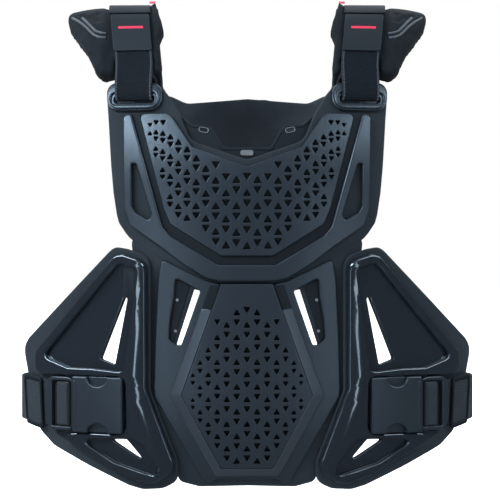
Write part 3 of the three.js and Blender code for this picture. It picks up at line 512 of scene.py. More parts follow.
def vents(room, radius, turn, level, top, pitch, rows, fan, size, bar):
    """Triangles that fit in a room, in rows round a drum, each with its foot on the bar at that side."""
    found = []
    for row in rows:
        for column in range(-20, 21):
            if abs(turn * column) > WIDEST_TURN:
                continue
            share = math.cos(turn * column)
            squeeze = share if fan else 1
            middle = level + (top - row * pitch - level) * squeeze
            up = (row + column) % 2 != 0
            half = size / 2 * share
            gap = max(bar * squeeze, LEAST_BAR)
            tall = min(half * 1.75, pitch * squeeze - gap * 1.25)
            foot = middle + (-1 if up else 1) * (pitch * squeeze - gap) / 2
            x = radius * math.sin(turn * column)
            tip = (x, foot + (tall if up else -tall))
            vent = [(x - half, foot), (x + half, foot), tip]
            if all(inside(corner, room) for corner in vent):
                found.append(eased(vent, VENT_CORNER, 3))
    return found


chest_vent_room = whole(placed(chest_place, [
    (0, 0.345), (-0.45, 0.223), (-0.62, 0.035), (-0.843, 0.028), (-0.65, 0.56), (-0.597, 0.635),
    (-0.2, 0.822), (0, 0.822),
]))
chest_vents = vents(chest_vent_room, radius=105.7, turn=0.0885, level=-182, top=-154, pitch=12.15,
                    rows=range(-9, 7), fan=True, size=8.2, bar=3.0)
chest_panel_half = [
    (0, 0.324), (-0.444, 0.203), (-0.607, 0.02), (-0.645, 0), (-0.867, 0), (-0.667, 0.565), (-0.613, 0.661),
    (-0.208, 0.849), (0, 0.849),
]
chest_panel = eased(whole(placed(chest_place, chest_panel_half)), 5)
formed("chest_vented_panel",
       folded(cut([chest_panel] + chest_vents, PLATE_BACK, CHEST_PANEL_FRONT, 0.45, 2), 7, 9),
       on_front, plate, ["chest_vent_panel"])

# Neck liner: a soft moulded rubber sheet behind the neckline, with a raised lip along its top and
# two slots with bright rims for a neck brace. A small grey patch is bonded on below it.
neckline = [(0, 0.205), (-0.196, 0.205), (-0.268, 0.113), (-0.315, 0.074), (-0.462, 0.064), (-0.53, 0.02)]
liner_half = neckline + [(-0.63, 0.0), (-0.66, 0.42), (0, 0.5)]
lip_half = neckline + [(-0.545, 0.036), (-0.462, 0.082), (-0.32, 0.092), (-0.281, 0.125), (-0.207, 0.223),
                       (0, 0.223)]
LINER_BACK = -4.3
NECK_SLOT = chest_place((-0.358, 0.098))
NECK_SLOT_TURN = -0.2
PATCH_CENTRE = chest_place((0, 0.238))


def tilted(loop, centre, turn):
    found = []
    for x, y in loop:
        x, y = x - centre[0], y - centre[1]
        found.append((centre[0] + x * math.cos(turn) - y * math.sin(turn),
                      centre[1] + x * math.sin(turn) + y * math.cos(turn)))
    return found


liner_outline = eased(whole(placed(chest_place, liner_half)), 5)
neck_slot = tilted(box(NECK_SLOT, 3.9, 1.8, 1.6), NECK_SLOT, NECK_SLOT_TURN)
neck_rim = tilted(box(NECK_SLOT, 4.7, 2.6, 2.4), NECK_SLOT, NECK_SLOT_TURN)
liner = cut([liner_outline, *both(neck_slot)], LINER_BACK, -SEAM, 0.9, 3)
rims = cut(both(neck_rim) + both(neck_slot), -SEAM - 0.9, -SEAM + 0.7, 0.38, 3)
lip = cut([eased(whole(placed(chest_place, lip_half)), 4)], -SEAM - 1.2, -SEAM + 0.6, 0.7, 3)
formed("neck_rubber_liner", folded(together(liner, lip), 8, 8), on_front, rubber, ["neck_liner"])

patch = Finish("patch_rubber", (0.055, 0.056, 0.058), 0.55)
patch.cloudy(70.0, 0.2, 0.45)
patch.blend(patch.noise(160.0, 3.0).ramp(0.45, 0.7), (0.085, 0.084, 0.082))
patch.relief(patch.noise(700.0), 0.00008)
formed("neck_slot_rims", rims, on_front, patch)
formed("neck_patch", cut([box(PATCH_CENTRE, 6, 2.6, 2.2)], -SEAM, 1.1, 0.5), on_front,
       patch, ["neck_badge"])

# Strap rings: oval satin loops moulded in one piece and riveted to the tabs of the foam, in front
# and behind. The shoulder straps pass down through them.
RING_HALF = (25.5, 13.3)


def ring(name, form, turn, back, node):
    outline = box(RING_CENTRE, *RING_HALF, 13.2)
    inner = box((RING_CENTRE[0], RING_CENTRE[1] - 1.7), SLOT_HALF[0] + 2.4, SLOT_HALF[1] + 2.3, 5.4)
    base = cut([turn(outline), turn(ring_slot)], back, back + 3.4, 1.2)
    raised = cut([turn(box(RING_CENTRE, RING_HALF[0] - 1.6, RING_HALF[1] - 1.6, 11.6)), turn(inner)],
                 back + 2, back + 5.6, 1.7, 4)
    formed(name, folded(together(base, raised), 6, 6), form, plate, [node])


for hand, turn in HANDS:
    ring("strap_ring_front_" + hand, on_front, turn, PLATE_BACK, "strap_ring_" + hand)

# Belly carrier: the foam sheet under the belly plate and the wings, with two slits that light
# shows through. It tucks under the bottom edge of the chest foam.
BELLY_HALF_WIDTH = 84.0
BELLY_HEIGHT = 208.0
BELLY_TOP = CHEST_TOP - 0.868 * CHEST_HEIGHT


def belly_place(point):
    return (point[0] * BELLY_HALF_WIDTH, BELLY_TOP - point[1] * BELLY_HEIGHT)


belly_slit = eased(placed(belly_place, [
    (-0.498, 0.142), (-0.706, 0.382), (-0.77, 0.382), (-0.575, 0.135),
]), 1)
belly_foam = eased(whole(placed(belly_place, [
    (0, -0.1), (-1.27, -0.1), (-1.2, 0.15), (-1.18, 0.45), (-1.05, 0.62), (-0.8, 0.9), (-0.74, 0.99),
    (-0.52, 1.012), (0, 1.006),
])), 8)
formed("belly_foam", folded(cut([belly_foam, *both(belly_slit)], -0.3, 4.8, 1.4), 8, 12),
       on_front, foam, ["belly_carrier"])

# Belly plate: a hard moulded plate with a window at each side, a bevelled band that rises to the
# six-sided vented panel, and a dark rubber inlay at the top of each side of the band.
BELLY_FRONT = PLATE_BACK + 3.0
BAND_FRONT = BELLY_FRONT + SEAM + 2.6
BEVEL_FALL = 2.0
BEVEL_WIDTH = 9.0
BELLY_PANEL_FRONT = PLATE_BACK + 5.5
belly_window = eased(placed(belly_place, [
    (-0.769, 0.083), (-0.498, 0.142), (-0.706, 0.382), (-0.755, 0.382), (-0.838, 0.357), (-0.825, 0.272),
    (-0.782, 0.17),
]), 3)
belly_plate_half = [
    (0, 0.927), (-0.277, 0.927), (-0.699, 0.603), (-0.374, 0.225), (-0.29, 0.122), (-0.31, 0.112),
    (-0.436, 0.099), (-0.683, 0.05), (-0.921, 0), (-0.956, 0.099), (-0.981, 0.308), (-1, 0.572),
    (-0.989, 0.614), (-0.463, 0.987), (-0.417, 1), (-0.311, 0.975), (0, 0.975),
]
belly_plate = eased(whole(placed(belly_place, belly_plate_half)), 5)
formed("belly_hard_plate",
       folded(cut([belly_plate, *both(belly_window)], PLATE_BACK, BELLY_FRONT, 1.1, 3), 7, 9),
       on_front, plate, ["belly_plate"])

# Each window shows a rubber liner let into the foam beside the slit, with two snaps in it. The liner is
# darker than the foam: painted shade for the window's recess.
SNAPS = [(-63.0, -266.0), (-64.6, -294.6)]
SNAP_RADIUS = 1.4
window_shaded_liner = placed(belly_place, [
    (-0.762, 0.09), (-0.615, 0.122), (-0.79, 0.372), (-0.833, 0.355), (-0.82, 0.272), (-0.777, 0.17),
])
formed("belly_window_shaded_liners", folded(cut(both(window_shaded_liner), 4.9, 5.7, 0.3, 2, 0.4), 7, 9), on_front,
       rubber)
snaps = [cut([box((x * side, z), SNAP_RADIUS, SNAP_RADIUS, 1.3)], 5.6, 6.9, 0.5)
         for x, z in SNAPS for side in (1, -1)]
formed("belly_window_snaps", together(*snaps), on_front, patch)

band_inner = [(0, 0.927), (-0.277, 0.927), (-0.699, 0.603), (-0.374, 0.225)]
band_outer = [(-0.483, 0.221), (-0.83, 0.604), (-0.337, 0.962), (0, 0.962)]
band = cut([whole(placed(belly_place, band_inner + band_outer))], BELLY_FRONT - 0.5, BAND_FRONT, 0.7, 3)
inner_edge = [Vector(belly_place(p)) for p in whole(band_inner)]


def limited(value):
    return max(0, min(1, value))


def gap_to(point, line):
    """How far a point is from the nearest piece of an open line."""
    found = 1e9
    for start, end in zip(line, line[1:]):
        along = end - start
        share = limited((point - start).dot(along) / max(along.length_squared, 1e-9))
        found = min(found, (start + along * share - point).length)
    return found


for vert in band.verts:
    if vert.co.z > BELLY_FRONT + 1:
        vert.co.z -= BEVEL_FALL * min(1, gap_to(vert.co.xy, inner_edge) / BEVEL_WIDTH)
# The band's satin is a lighter copy of the plate's satin: the extra lightness is painted light on its sloped
# faces.
band_satin_painted_light = satin("band_satin_painted_light", (0.0125, 0.0152, 0.0195), 0.33)
formed("belly_bevel_band", folded(band, 7, 9), on_front, band_satin_painted_light, ["belly_band"])

inlay = placed(belly_place, [(-0.285, 0.116), (-0.395, 0.116), (-0.478, 0.215), (-0.371, 0.219)])
formed("belly_rubber_inlays", folded(cut(both(inlay), BELLY_FRONT - 0.6, BELLY_FRONT + 0.4, 0.3), 7, 9),
       on_front, rubber)

belly_vent_room = whole(placed(belly_place, [
    (0, 0.2), (-0.365, 0.235), (-0.667, 0.603), (-0.262, 0.912), (0, 0.912),
]))
belly_vents = vents(belly_vent_room, radius=64, turn=0.142, level=-360, top=-276, pitch=11.35,
                    rows=range(0, 13), fan=False, size=6.8, bar=3.6)
belly_panel = whole(placed(belly_place, [
    (0, 0.112), (-0.275, 0.112), (-0.372, 0.225), (-0.696, 0.603), (-0.275, 0.926), (0, 0.926),
]))
formed("belly_vented_panel",
       folded(cut([belly_panel] + belly_vents, PLATE_BACK, BELLY_PANEL_FRONT, 0.45, 2), 7, 9),
       on_front, plate, ["belly_vent_panel"])

# Wings: a pad of the same foam under a polished black shell, moulded with two deep hollows, a
# rounded rim round each, and a swelling ridge down the side next to the belly. Both layers are slit.
WING_SPAN = 120.0
WING_HEIGHT = 225.0
WING_TOP = BELLY_TOP + 0.052 * BELLY_HEIGHT
WING_INNER = BELLY_HALF_WIDTH + 3
WING_PAD_FRONT = PLATE_BACK + 5
SHELL_BACK = WING_PAD_FRONT + SEAM
SHELL_FLOOR = SHELL_BACK + 1.6
SHELL_RIM = SHELL_FLOOR + 5
RIDGE_RISE = 4.2
RIDGE_REACH = 10.0


def wing_place(point):
    return (-WING_INNER - point[0] * WING_SPAN, WING_TOP - point[1] * WING_HEIGHT)


def wing_loop(points, radius):
    return eased(placed(wing_place, points), radius)


def shell_outline(notch):
    """The polished shell's outline, cut out for the buckle as far in as the notch."""
    return wing_loop([
        (0.188, 0.029), (0.064, 0.049), (0.02, 0.07), (0.01, 0.11), (0.01, 0.578), (-0.195, 0.88),
        (-0.175, 0.922), (-0.064, 0.965), (0.0375, 0.97), (0.192, 0.9356), (0.755, 0.768), (notch, 0.768),
        (notch, 0.532), (0.861, 0.532), (0.861, 0.442), (0.253, 0.037),
    ], 9)


gloss = Finish("polished_shell", (0.0044, 0.0060, 0.0086), 0.16, specular_ior_level=0.5, coat_roughness=0.06)
gloss.set("Coat Weight", gloss.noise(8.0) * 0.3 + 0.25)
hairlines = gloss.noise(70.0, 6.0, (1, 1, 0.1)).ramp(0.62, 0.72)
gloss.set("Roughness", gloss.noise(10.0, 3.0) * 0.12 + hairlines * 0.08 + 0.10)
gloss.blend(hairlines * 0.25, (0.014, 0.016, 0.020))
gloss.relief(gloss.noise(14.0) * 1.0 + gloss.noise(1900.0) * 0.003, 0.00006)

wing_pad = wing_loop([
    (0.173, 0.008), (0, 0.041), (0, 0.588), (-0.208, 0.875), (-0.2075, 0.96), (-0.09, 0.992), (0.06, 0.998),
    (0.1675, 0.982), (0.469, 0.908), (0.749, 0.832), (0.855, 0.776), (0.888, 0.736), (0.965, 0.533),
    (0.992, 0.463), (0.9975, 0.423), (0.961, 0.387), (0.301, 0.0124), (0.261, 0),
], 14)
shell_floor, shell_rim = shell_outline(0.602), shell_outline(0.165)
upper_hollow = wing_loop([
    (0.217, 0.066), (0.07, 0.088), (0.176, 0.512), (0.4125, 0.5), (0.596, 0.5), (0.8, 0.458),
], 6)
lower_hollow = wing_loop([
    (0.525, 0.793), (0.109, 0.787), (0.041, 0.805), (-0.088, 0.908), (-0.049, 0.936), (0.243, 0.885),
], 5)
upper_slit = wing_loop([(0.186, 0.203), (0.1625, 0.211), (0.259, 0.4853), (0.373, 0.462)], 2)
lower_slit = wing_loop([(0.3, 0.79), (0.171, 0.79), (0.021, 0.886)], 2)
ridge = [Vector(wing_place(p)) for p in [
    (0.075, 0.05), (0.065, 0.16), (0.07, 0.32), (0.095, 0.5), (0.075, 0.61), (0.0, 0.74), (-0.09, 0.87),
    (-0.12, 0.94),
]]


def ridged(x, z, out):
    """The front of the shell swells along the ridge."""
    share = max(0, (out - SHELL_BACK) / (SHELL_RIM - SHELL_BACK))
    swell = RIDGE_RISE * math.exp(-(gap_to(Vector((-abs(x), z)), ridge) / RIDGE_REACH) ** 2)
    return on_front(x, z, out + share * swell)


for hand, turn in HANDS:
    slits = [turn(upper_slit), turn(lower_slit)]
    formed("wing_foam_" + hand, folded(cut([turn(wing_pad)] + slits, PLATE_BACK, WING_PAD_FRONT, 1.6), 8, 10),
           on_front, foam, ["wing_pad_" + hand])
    floor = cut([turn(shell_floor)] + slits, SHELL_BACK, SHELL_FLOOR, 0.5, 2)
    loops = [turn(loop) for loop in (shell_rim, upper_hollow, lower_hollow)]
    walls = cut(loops, SHELL_BACK + 0.1, SHELL_RIM, 2.0, 5)
    formed("wing_polished_shell_" + hand, folded(together(floor, walls), 4, 5), ridged,
           gloss, ["wing_shell_" + hand])

# Side buckles: a satin moulded body with a thumb notch above and below, a clip with two bars that
# the webbing turns round, and a rubber-edged keeper for the webbing's doubled end beyond it.
BODY_LOW = SHELL_FLOOR + SEAM
BODY_HIGH = BODY_LOW + 8
STRAP_THICKNESS = 2.4
STRAP_HALF = 21.0
STRAP_FRONT = SHELL_BACK + STRAP_THICKNESS
NOTCH_RADIUS = 9.0
BUCKLE_Z = wing_place((0, 0.65))[1]
BUCKLE_LENGTH = 45.0
BUCKLE_HALF_HEIGHT = 26.0
BODY_HALF = BUCKLE_LENGTH / 2 - 0.2
CLIP_INNER = wing_place((0.555, 0))[0]
CLIP_LENGTH = 25.5
CLIP_OUTER = CLIP_INNER - CLIP_LENGTH
CLIP_LOW = STRAP_FRONT + SEAM
BODY_CENTRE = ((CLIP_INNER * 2 + BUCKLE_LENGTH) / 2, BUCKLE_Z)
GAP_X = CLIP_INNER - 10.5
GAP_HALF = 8.9

webbing = Finish("nylon_webbing", (0.0062, 0.0073, 0.0092), 0.70, sheen_weight=0.03, sheen_roughness=0.4,
                 specular_ior_level=0.3)
along, across = webbing.drawn()
ribs = abs(across.wave(2.6))
weave = along.wave(1.1) * across.wave(1.3)
webbing.blend((ribs * 0.5 + weave * 0.3 + webbing.noise(300.0) * 0.4) * 0.5, (0.0145, 0.0165, 0.0198))
webbing.cloudy(80.0, 0.2, 0.62)
webbing.relief(ribs + weave * 0.5, 0.00022)


def arc(centre, radius, start, end, steps=14):
    turns = [start + (end - start) * i / steps for i in range(steps + 1)]
    return [(centre[0] + radius * math.cos(t), centre[1] + radius * math.sin(t)) for t in turns]


left, right = BODY_CENTRE[0] - BODY_HALF, BODY_CENTRE[0] + BODY_HALF
low_z, high_z = BUCKLE_Z - BUCKLE_HALF_HEIGHT, BUCKLE_Z + BUCKLE_HALF_HEIGHT
notched = [
    (left, low_z), *arc((BODY_CENTRE[0], low_z), NOTCH_RADIUS, math.pi, 0), (right, low_z),
    (right, high_z), *arc((BODY_CENTRE[0], high_z), NOTCH_RADIUS, 0, -math.pi), (left, high_z),
]
clip_outline = eased([
    (CLIP_INNER - 0.3, BUCKLE_Z - 25), (CLIP_INNER - 0.3, BUCKLE_Z + 25), (CLIP_OUTER + 6, BUCKLE_Z + 25),
    (CLIP_OUTER + 1.8, BUCKLE_Z + 21), (CLIP_OUTER, BUCKLE_Z + 9), (CLIP_OUTER, BUCKLE_Z - 9),
    (CLIP_OUTER + 1.8, BUCKLE_Z - 21), (CLIP_OUTER + 6, BUCKLE_Z - 25),
][::-1], 6)
STOP_X = CLIP_OUTER - 12.5
STOP_CORNERS = ((-9.7, 26.0), (-6.6, -21.2), (9.2, -26.0), (7.2, 23.0))


def stop_outline(share):
    return eased([(STOP_X + x * share, BUCKLE_Z + z * share) for x, z in STOP_CORNERS], 3.2 * share)


for hand, turn in HANDS:
    body = cut([turn(box(BODY_CENTRE, BODY_HALF, BUCKLE_HALF_HEIGHT, 4))], BODY_LOW, BODY_LOW + 3, 0.8)
    top = cut([turn(eased(notched, 2.2))], BODY_LOW + 1, BODY_HIGH, 1.4, 4)
    latch = cut([turn(box((left + 2.6, BUCKLE_Z), 1.2, 22, 1))], BODY_HIGH - 1, BODY_HIGH + 0.5, 0.6)
    formed("side_buckle_body_" + hand, folded(together(body, top, latch), 5, 8), on_front, plate,
           ["buckle_body_" + hand])

    gap = box((GAP_X, BUCKLE_Z), GAP_HALF, STRAP_HALF + 0.4, 1.5)
    clip = cut([turn(clip_outline), turn(gap)], CLIP_LOW, CLIP_LOW + 5, 1.0, 3)
    formed("side_buckle_clip_" + hand, folded(clip, 5, 8), on_front, plate,
           ["buckle_clip_" + hand])

    border = cut([turn(stop_outline(1.0)), turn(stop_outline(0.82))], CLIP_LOW, CLIP_LOW + 3.2, 1.1, 3)
    formed("strap_stop_border_" + hand, folded(border, 4, 8), on_front, rubber,
           ["strap_stop_" + hand])
    doubled = cut([turn(stop_outline(0.86))], CLIP_LOW - 0.2, CLIP_LOW + 2.2, 0.6)
    formed("strap_doubled_end_" + hand, folded(doubled, 4, 8), on_front, webbing)

# Waist straps: ribbed nylon webbing from the clip, where it turns over the bar in a thick roll,
# round the side of the waist to the back plate, which it goes under.
GIRTH = BODY_HALF_WIDTH
SIDE_TUCK = 12.0
TUCK_START = 190.0
TUCK_REACH = 42.0


def on_girth(a, z, out):
    """Round the waist, and drawn in a little at the sides, where nothing is under the strap."""
    spot = around(a / GIRTH, z, out)
    share = limited((abs(spot.x) - TUCK_START) / TUCK_REACH)
    spot.x -= math.copysign(SIDE_TUCK * share * share * (3 - 2 * share), spot.x)
    return spot


def girth_of(x):
    return math.asin(x / BODY_HALF_WIDTH) * GIRTH


STRAP_END_X = 54.6
strap_start = girth_of(GAP_X + GAP_HALF - 0.8)
strap_end = girth_of(STRAP_END_X) - math.pi * GIRTH
roll_middle = girth_of(GAP_X + GAP_HALF - 7.0)
for hand, turn in HANDS:
    strap = box(((strap_start + strap_end) / 2, BUCKLE_Z), (strap_start - strap_end) / 2, STRAP_HALF, 0.4)
    roll = box((roll_middle, BUCKLE_Z), 8.4, STRAP_HALF - 0.4, 1.5)
    solid = together(cut([turn(strap)], SHELL_BACK, STRAP_FRONT, 0.7, 2),
                     cut([turn(roll)], SHELL_BACK + 1.4, STRAP_FRONT + 7.2, 3.6, 6))
    formed("waist_webbing_" + hand, folded(solid, 5, 7), on_girth, webbing,
           ["waist_strap_" + hand])

# Back plate: a padded cloth sheet with a plain satin plate on it, waisted so that the windows in
# front stay clear, with a strap ring at each shoulder. The pad's cloth has puckered a little.
BACK_TOP = -58.0
BACK_HALF_WIDTH = 130.0
BACK_HEIGHT = 345.0
BACK_PAD_FRONT = 7.0
BACK_PLATE_BACK = BACK_PAD_FRONT + SEAM
BACK_PLATE_FRONT = BACK_PLATE_BACK + 3

cloth = Finish("pad_cloth", (0.0024, 0.0029, 0.0037), 0.86, sheen_weight=0.015, sheen_roughness=0.45,
               specular_ior_level=0.14)
knit = cloth.node("TexVoronoi", {}, {"Vector": cloth.place(), "Scale": 900.0})
cloth.blend(cloth.noise(22.0, 4.0).ramp(0.4, 0.75) * 0.6 + knit * 0.25, (0.0056, 0.0064, 0.0078))
cloth.cloudy(120.0, 0.16, 0.78)
cloth.relief(knit * 1.2 + cloth.noise(45.0, 3.0) * 2.5, 0.00022)

back_half = [
    (0, 0.01), (-0.485, 0.025), (-0.615, 0.003), (-1, 0), (-1.04, 0.025), (-1.03, 0.12), (-0.88, 0.34),
    (-0.55, 0.5), (-0.34, 0.56), (-0.34, 0.775), (-0.58, 0.81), (-0.6, 0.97), (-0.55, 1), (0, 1),
]
back_outline = eased(whole([(u * BACK_HALF_WIDTH, BACK_TOP - v * BACK_HEIGHT) for u, v in back_half]), 14)
back_pad = shaped(folded(cut([back_outline] + ring_slots, 0, BACK_PAD_FRONT, 2.6, 4), 6, 6), on_back)


def groove(verts, lines, depth, width):
    """Presses lines, given as points in metres, into the surface that they lie on."""
    spots = []
    for line in lines:
        for start, end in zip(line, line[1:]):
            steps = max(2, int((end - start).length / 0.0008))
            spots += [start.lerp(end, i / steps) for i in range(steps + 1)]
    tree = KDTree(len(spots))
    for index, spot in enumerate(spots):
        tree.insert(spot, index)
    tree.balance()
    for vert in verts:
        distance = tree.find(vert.co)[2]
        if distance < width * 3:
            vert.co -= vert.normal * depth * math.exp(-(distance / width) ** 2)


back_pad.normal_update()
pucker = [[Vector((0.0174, 0.105, -0.067)), Vector((0.0245, 0.103, -0.077)), Vector((0.0316, 0.100, -0.088))]]
groove(back_pad.verts, pucker, 0.0024, 0.0038)
lining = Finish("back_lining", (0.0130, 0.0155, 0.0195), 0.84, sheen_weight=0.08, sheen_roughness=0.45,
                specular_ior_level=0.22)
lining.blend(lining.noise(22.0, 4.0).ramp(0.4, 0.75) * 0.7, (0.0260, 0.0295, 0.0355))
lining.cloudy(120.0, 0.16, 0.76)
lining.relief(lining.noise(1400.0, 3.0) + lining.noise(45.0, 3.0) * 2.5, 0.00018)
made_piece("back_padding", back_pad, lining, ["back_pad"])
formed("back_hard_plate",
       folded(cut([back_outline] + ring_slots, BACK_PLATE_BACK, BACK_PLATE_FRONT, 1.0, 3, 3), 6, 8), on_back,
       plate, ["back_plate"])
ring("strap_ring_rear_left", on_back, mirror, BACK_PLATE_FRONT + SEAM, "rear_ring_left")
ring("strap_ring_rear_right", on_back, as_it_is, BACK_PLATE_FRONT + SEAM, "rear_ring_right")

# Shoulder straps: a band of brushed tape, stitched near both edges, that goes over the shoulder
# and turns back on itself through a ring at each end.
SHOULDER_REACH = 115.8
PAD_THICKNESS = 17.0
PAD_DROOP = 14.0
PAD_DROOP_REACH = 45.0
TAPE_HALF = 18.2
TAPE_HALF_THICKNESS = 1.2
STITCH_LINE = 16.5
PAD_START = TAPE_HALF + 3
SIDES = (("left", -1), ("right", 1))
CREST = PAD_THICKNESS + SEAM + TAPE_HALF_THICKNESS
FRONT_RUN = PLATE_BACK + 5 + SEAM + TAPE_HALF_THICKNESS
REAR_RUN = BACK_PLATE_FRONT + SEAM + 5 + SEAM + TAPE_HALF_THICKNESS
INNER_RUN = -SEAM - TAPE_HALF_THICKNESS - 2.1
CARRIER_TOP = max(z for x, z in carrier_outline)


def droop(a):
    """How far the pad hangs down at a distance out from the middle of the strap."""
    return PAD_DROOP * (max(0, a - PAD_START) / PAD_DROOP_REACH) ** 2


class Ribbon:
    """A band along a smooth path: a across it, b along it and out from its middle."""

    def __init__(self, points, side, front_turn, rear_turn, samples=60):
        self.side, self.turns = side, (front_turn, rear_turn)
        ends = [points[0] * 2 - points[1]] + points + [points[-1] * 2 - points[-2]]
        self.spots = [points[0]]
        for p0, p1, p2, p3 in zip(ends, ends[1:], ends[2:], ends[3:]):
            spans = [max((q - p).length ** 0.5, 1e-4) for p, q in ((p0, p1), (p1, p2), (p2, p3))]
            into = (p1 - p0) / spans[0] - (p2 - p0) / (spans[0] + spans[1]) + (p2 - p1) / spans[1]
            away = (p2 - p1) / spans[1] - (p3 - p1) / (spans[1] + spans[2]) + (p3 - p2) / spans[2]
            into, away = into * spans[1], away * spans[1]
            for step in range(1, samples + 1):
                t = step / samples
                self.spots.append(
                    p1 * (2 * t ** 3 - 3 * t ** 2 + 1) + into * (t ** 3 - 2 * t ** 2 + t)
                    + p2 * (3 * t ** 2 - 2 * t ** 3) + away * (t ** 3 - t ** 2))
        self.marks = [0.0]
        for start, end in zip(self.spots, self.spots[1:]):
            self.marks.append(self.marks[-1] + (end - start).length)
        self.length = self.marks[-1]

    def spot(self, b):
        low, high = 0, len(self.marks) - 1
        while high - low > 1:
            middle = (low + high) // 2
            low, high = (middle, high) if self.marks[middle] <= b else (low, middle)
        share = (b - self.marks[low]) / max(self.marks[high] - self.marks[low], 1e-9)
        return self.spots[low].lerp(self.spots[high], share)

    def __call__(self, a, b, out):
        b = max(0, min(self.length, b))
        tangent = (self.spot(min(self.length, b + 1)) - self.spot(max(0, b - 1))).normalized()
        turn = self.turns[0] + (self.turns[1] - self.turns[0]) * b / self.length
        sideways = Vector((self.side, turn, 0)).normalized()
        lift = (sideways.cross(tangent) * self.side).normalized()
        place = self.spot(b) + sideways * a + lift * out
        place.z -= droop(a)
        return place


def surface_turn(angle):
    here = around(angle, RING_CENTRE[1], 0)
    step = math.copysign(0.02, angle) * math.copysign(1, math.cos(angle))
    there = around(angle + step, RING_CENTRE[1], 0)
    return (there.y - here.y) / abs(there.x - here.x)


tape = Finish("brushed_tape", (0.0020, 0.0026, 0.0042), 0.92, sheen_weight=0.005, sheen_roughness=0.6,
              specular_ior_level=0.12)
across, along = tape.drawn()
edge_line = (abs(abs(across) - STITCH_LINE) < 0.55) * ((along % 3.0) < 2.1)
fuzz = tape.noise(1100.0, 4.0)
selvage = abs(across).ramp(15.2, 17.8)
tape.blend(edge_line * 0.75 + selvage * 0.25 + fuzz.ramp(0.5, 0.8) * 0.22, (0.0400, 0.0450, 0.0520))
tape.set("Roughness", fuzz * 0.1 + 0.86)
tape.relief(fuzz * 2.0 + tape.noise(160.0, 3.0) + edge_line * 1.5, 0.00035)


def strip(half_width, low, high, radius=2):
    return box((0, (low + high) / 2), half_width, (high - low) / 2, radius)


ARCH = ((0.92, 0.7, 0.84, RING_CENTRE[1] + 34), (0.95, 0.555, 0.66, CREST - 34),
        (0.975, 0.385, 0.45, CREST - 14.5), (0.992, 0.19, 0.22, CREST - 3.5))
bands = {}
for hand, side in SIDES:
    front_angle = side * math.asin(abs(RING_CENTRE[0]) / BODY_HALF_WIDTH)
    rear_angle = side * math.pi - front_angle
    turns = surface_turn(front_angle), surface_turn(rear_angle)
    x = side * SHOULDER_REACH
    rise = [Vector((x * reach, -CHEST_DEPTH * front, z)) for reach, front, back, z in ARCH]
    fall = [Vector((x * reach, BACK_DEPTH * back, z)) for reach, front, back, z in ARCH[::-1]]
    over = [around(front_angle, RING_CENTRE[1] + 12, FRONT_RUN), *rise, Vector((x, 0, CREST)), *fall,
            around(rear_angle, RING_CENTRE[1] + 12, REAR_RUN)]
    band = bands[hand] = Ribbon(over, side, *turns)
    parts = [shaped(folded(cut([strip(TAPE_HALF, 0, band.length, 0.3)], -1.2, 1.2, 0.5, 2), 9, 3), band)]
    for angle, run, end, following, top, turn in (
            (front_angle, FRONT_RUN, over[0], over[1], CARRIER_TOP, turns[0]),
            (rear_angle, REAR_RUN, over[-1], over[-2], BACK_TOP, turns[1])):
        join = end.lerp(following, (top + 12 - end.z) / (following.z - end.z))
        path = [join] + [around(angle, z, out) for z, out in (
            (top + 6.5, run * 0.45), (top + 1, INNER_RUN), (RING_CENTRE[1] + 6, INNER_RUN),
            (SLOT_CENTRE[1] + 0.6, INNER_RUN + 2.2), (SLOT_CENTRE[1], (INNER_RUN + run) / 2),
            (SLOT_CENTRE[1] + 0.6, run - 2.2), (RING_CENTRE[1] + 5, run), (RING_CENTRE[1] + 14, run))]
        loop = Ribbon(path, side, turn, turn, 30)
        turned = cut([strip(TAPE_HALF - 0.4, 0, loop.length, 0.3)], -1.05, 1.05, 0.4, 2)
        parts.append(shaped(folded(turned, 9, 2), loop))
    made_piece("shoulder_tape_" + hand, together(*parts), tape, ["shoulder_strap_" + hand])

# Shoulder pads: foam in knitted cloth, sewn in panels with a piped seam, wider outside the strap
# than inside it. The stuffing swells it, but the strap holds it down where they touch.
PAD_WIDTH = 90.0
PAD_FRONT = -TAPE_HALF_THICKNESS - SEAM
PAD_SWELL = 0.0045
COVER_GRID = 0.0036
STUFFING_PRESSURE = 4.0
SWELL_STEPS = 16
PIPING_RADIUS = 0.0013
LAID_STEPS = 6
INNER_RISE = 9.5
OUTER_RISE = 2.6


def swollen(solid, held_near):
    """The closed solid's cover, blown up by the stuffing in a cloth simulation, up to a limit."""
    mesh = bpy.data.meshes.new("stuffing")
    solid.to_mesh(mesh)
    cover = bpy.data.objects.new("stuffing", mesh)
    scene.collection.objects.link(cover)
    remesh = cover.modifiers.new("cover", "REMESH")
    remesh.mode = "VOXEL"
    remesh.voxel_size = COVER_GRID
    graph = bpy.context.evaluated_depsgraph_get()
    covered = bpy.data.meshes.new_from_object(cover.evaluated_get(graph))
    cover.modifiers.clear()
    cover.data = covered
    rest = [vert.co.copy() for vert in covered.vertices]
    stuffing = cover.modifiers.new("stuffing", "CLOTH")
    stuffing.settings.use_pressure = True
    stuffing.settings.uniform_pressure_force = STUFFING_PRESSURE
    stuffing.settings.effector_weights.gravity = 0
    for step in range(1, SWELL_STEPS + 1):
        scene.frame_set(step)
    graph = bpy.context.evaluated_depsgraph_get()
    blown = [vert.co.copy() for vert in cover.evaluated_get(graph).data.vertices]
    cover.modifiers.clear()
    for vert, start, end in zip(covered.vertices, rest, blown):
        move = end - start
        if move.length > PAD_SWELL:
            move *= PAD_SWELL / move.length
        vert.co = start + move * held_near(start)
    scene.frame_set(1)
    result = bmesh.new()
    result.from_mesh(covered)
    bpy.data.objects.remove(cover)
    bmesh.ops.subdivide_edges(result, edges=result.edges, cuts=1, smooth=0.6, use_grid_fill=True)
    for _ in range(2):
        bmesh.ops.smooth_vert(
            result, verts=result.verts, factor=0.5, use_axis_x=True, use_axis_y=True, use_axis_z=True)
    result.normal_update()
    return result


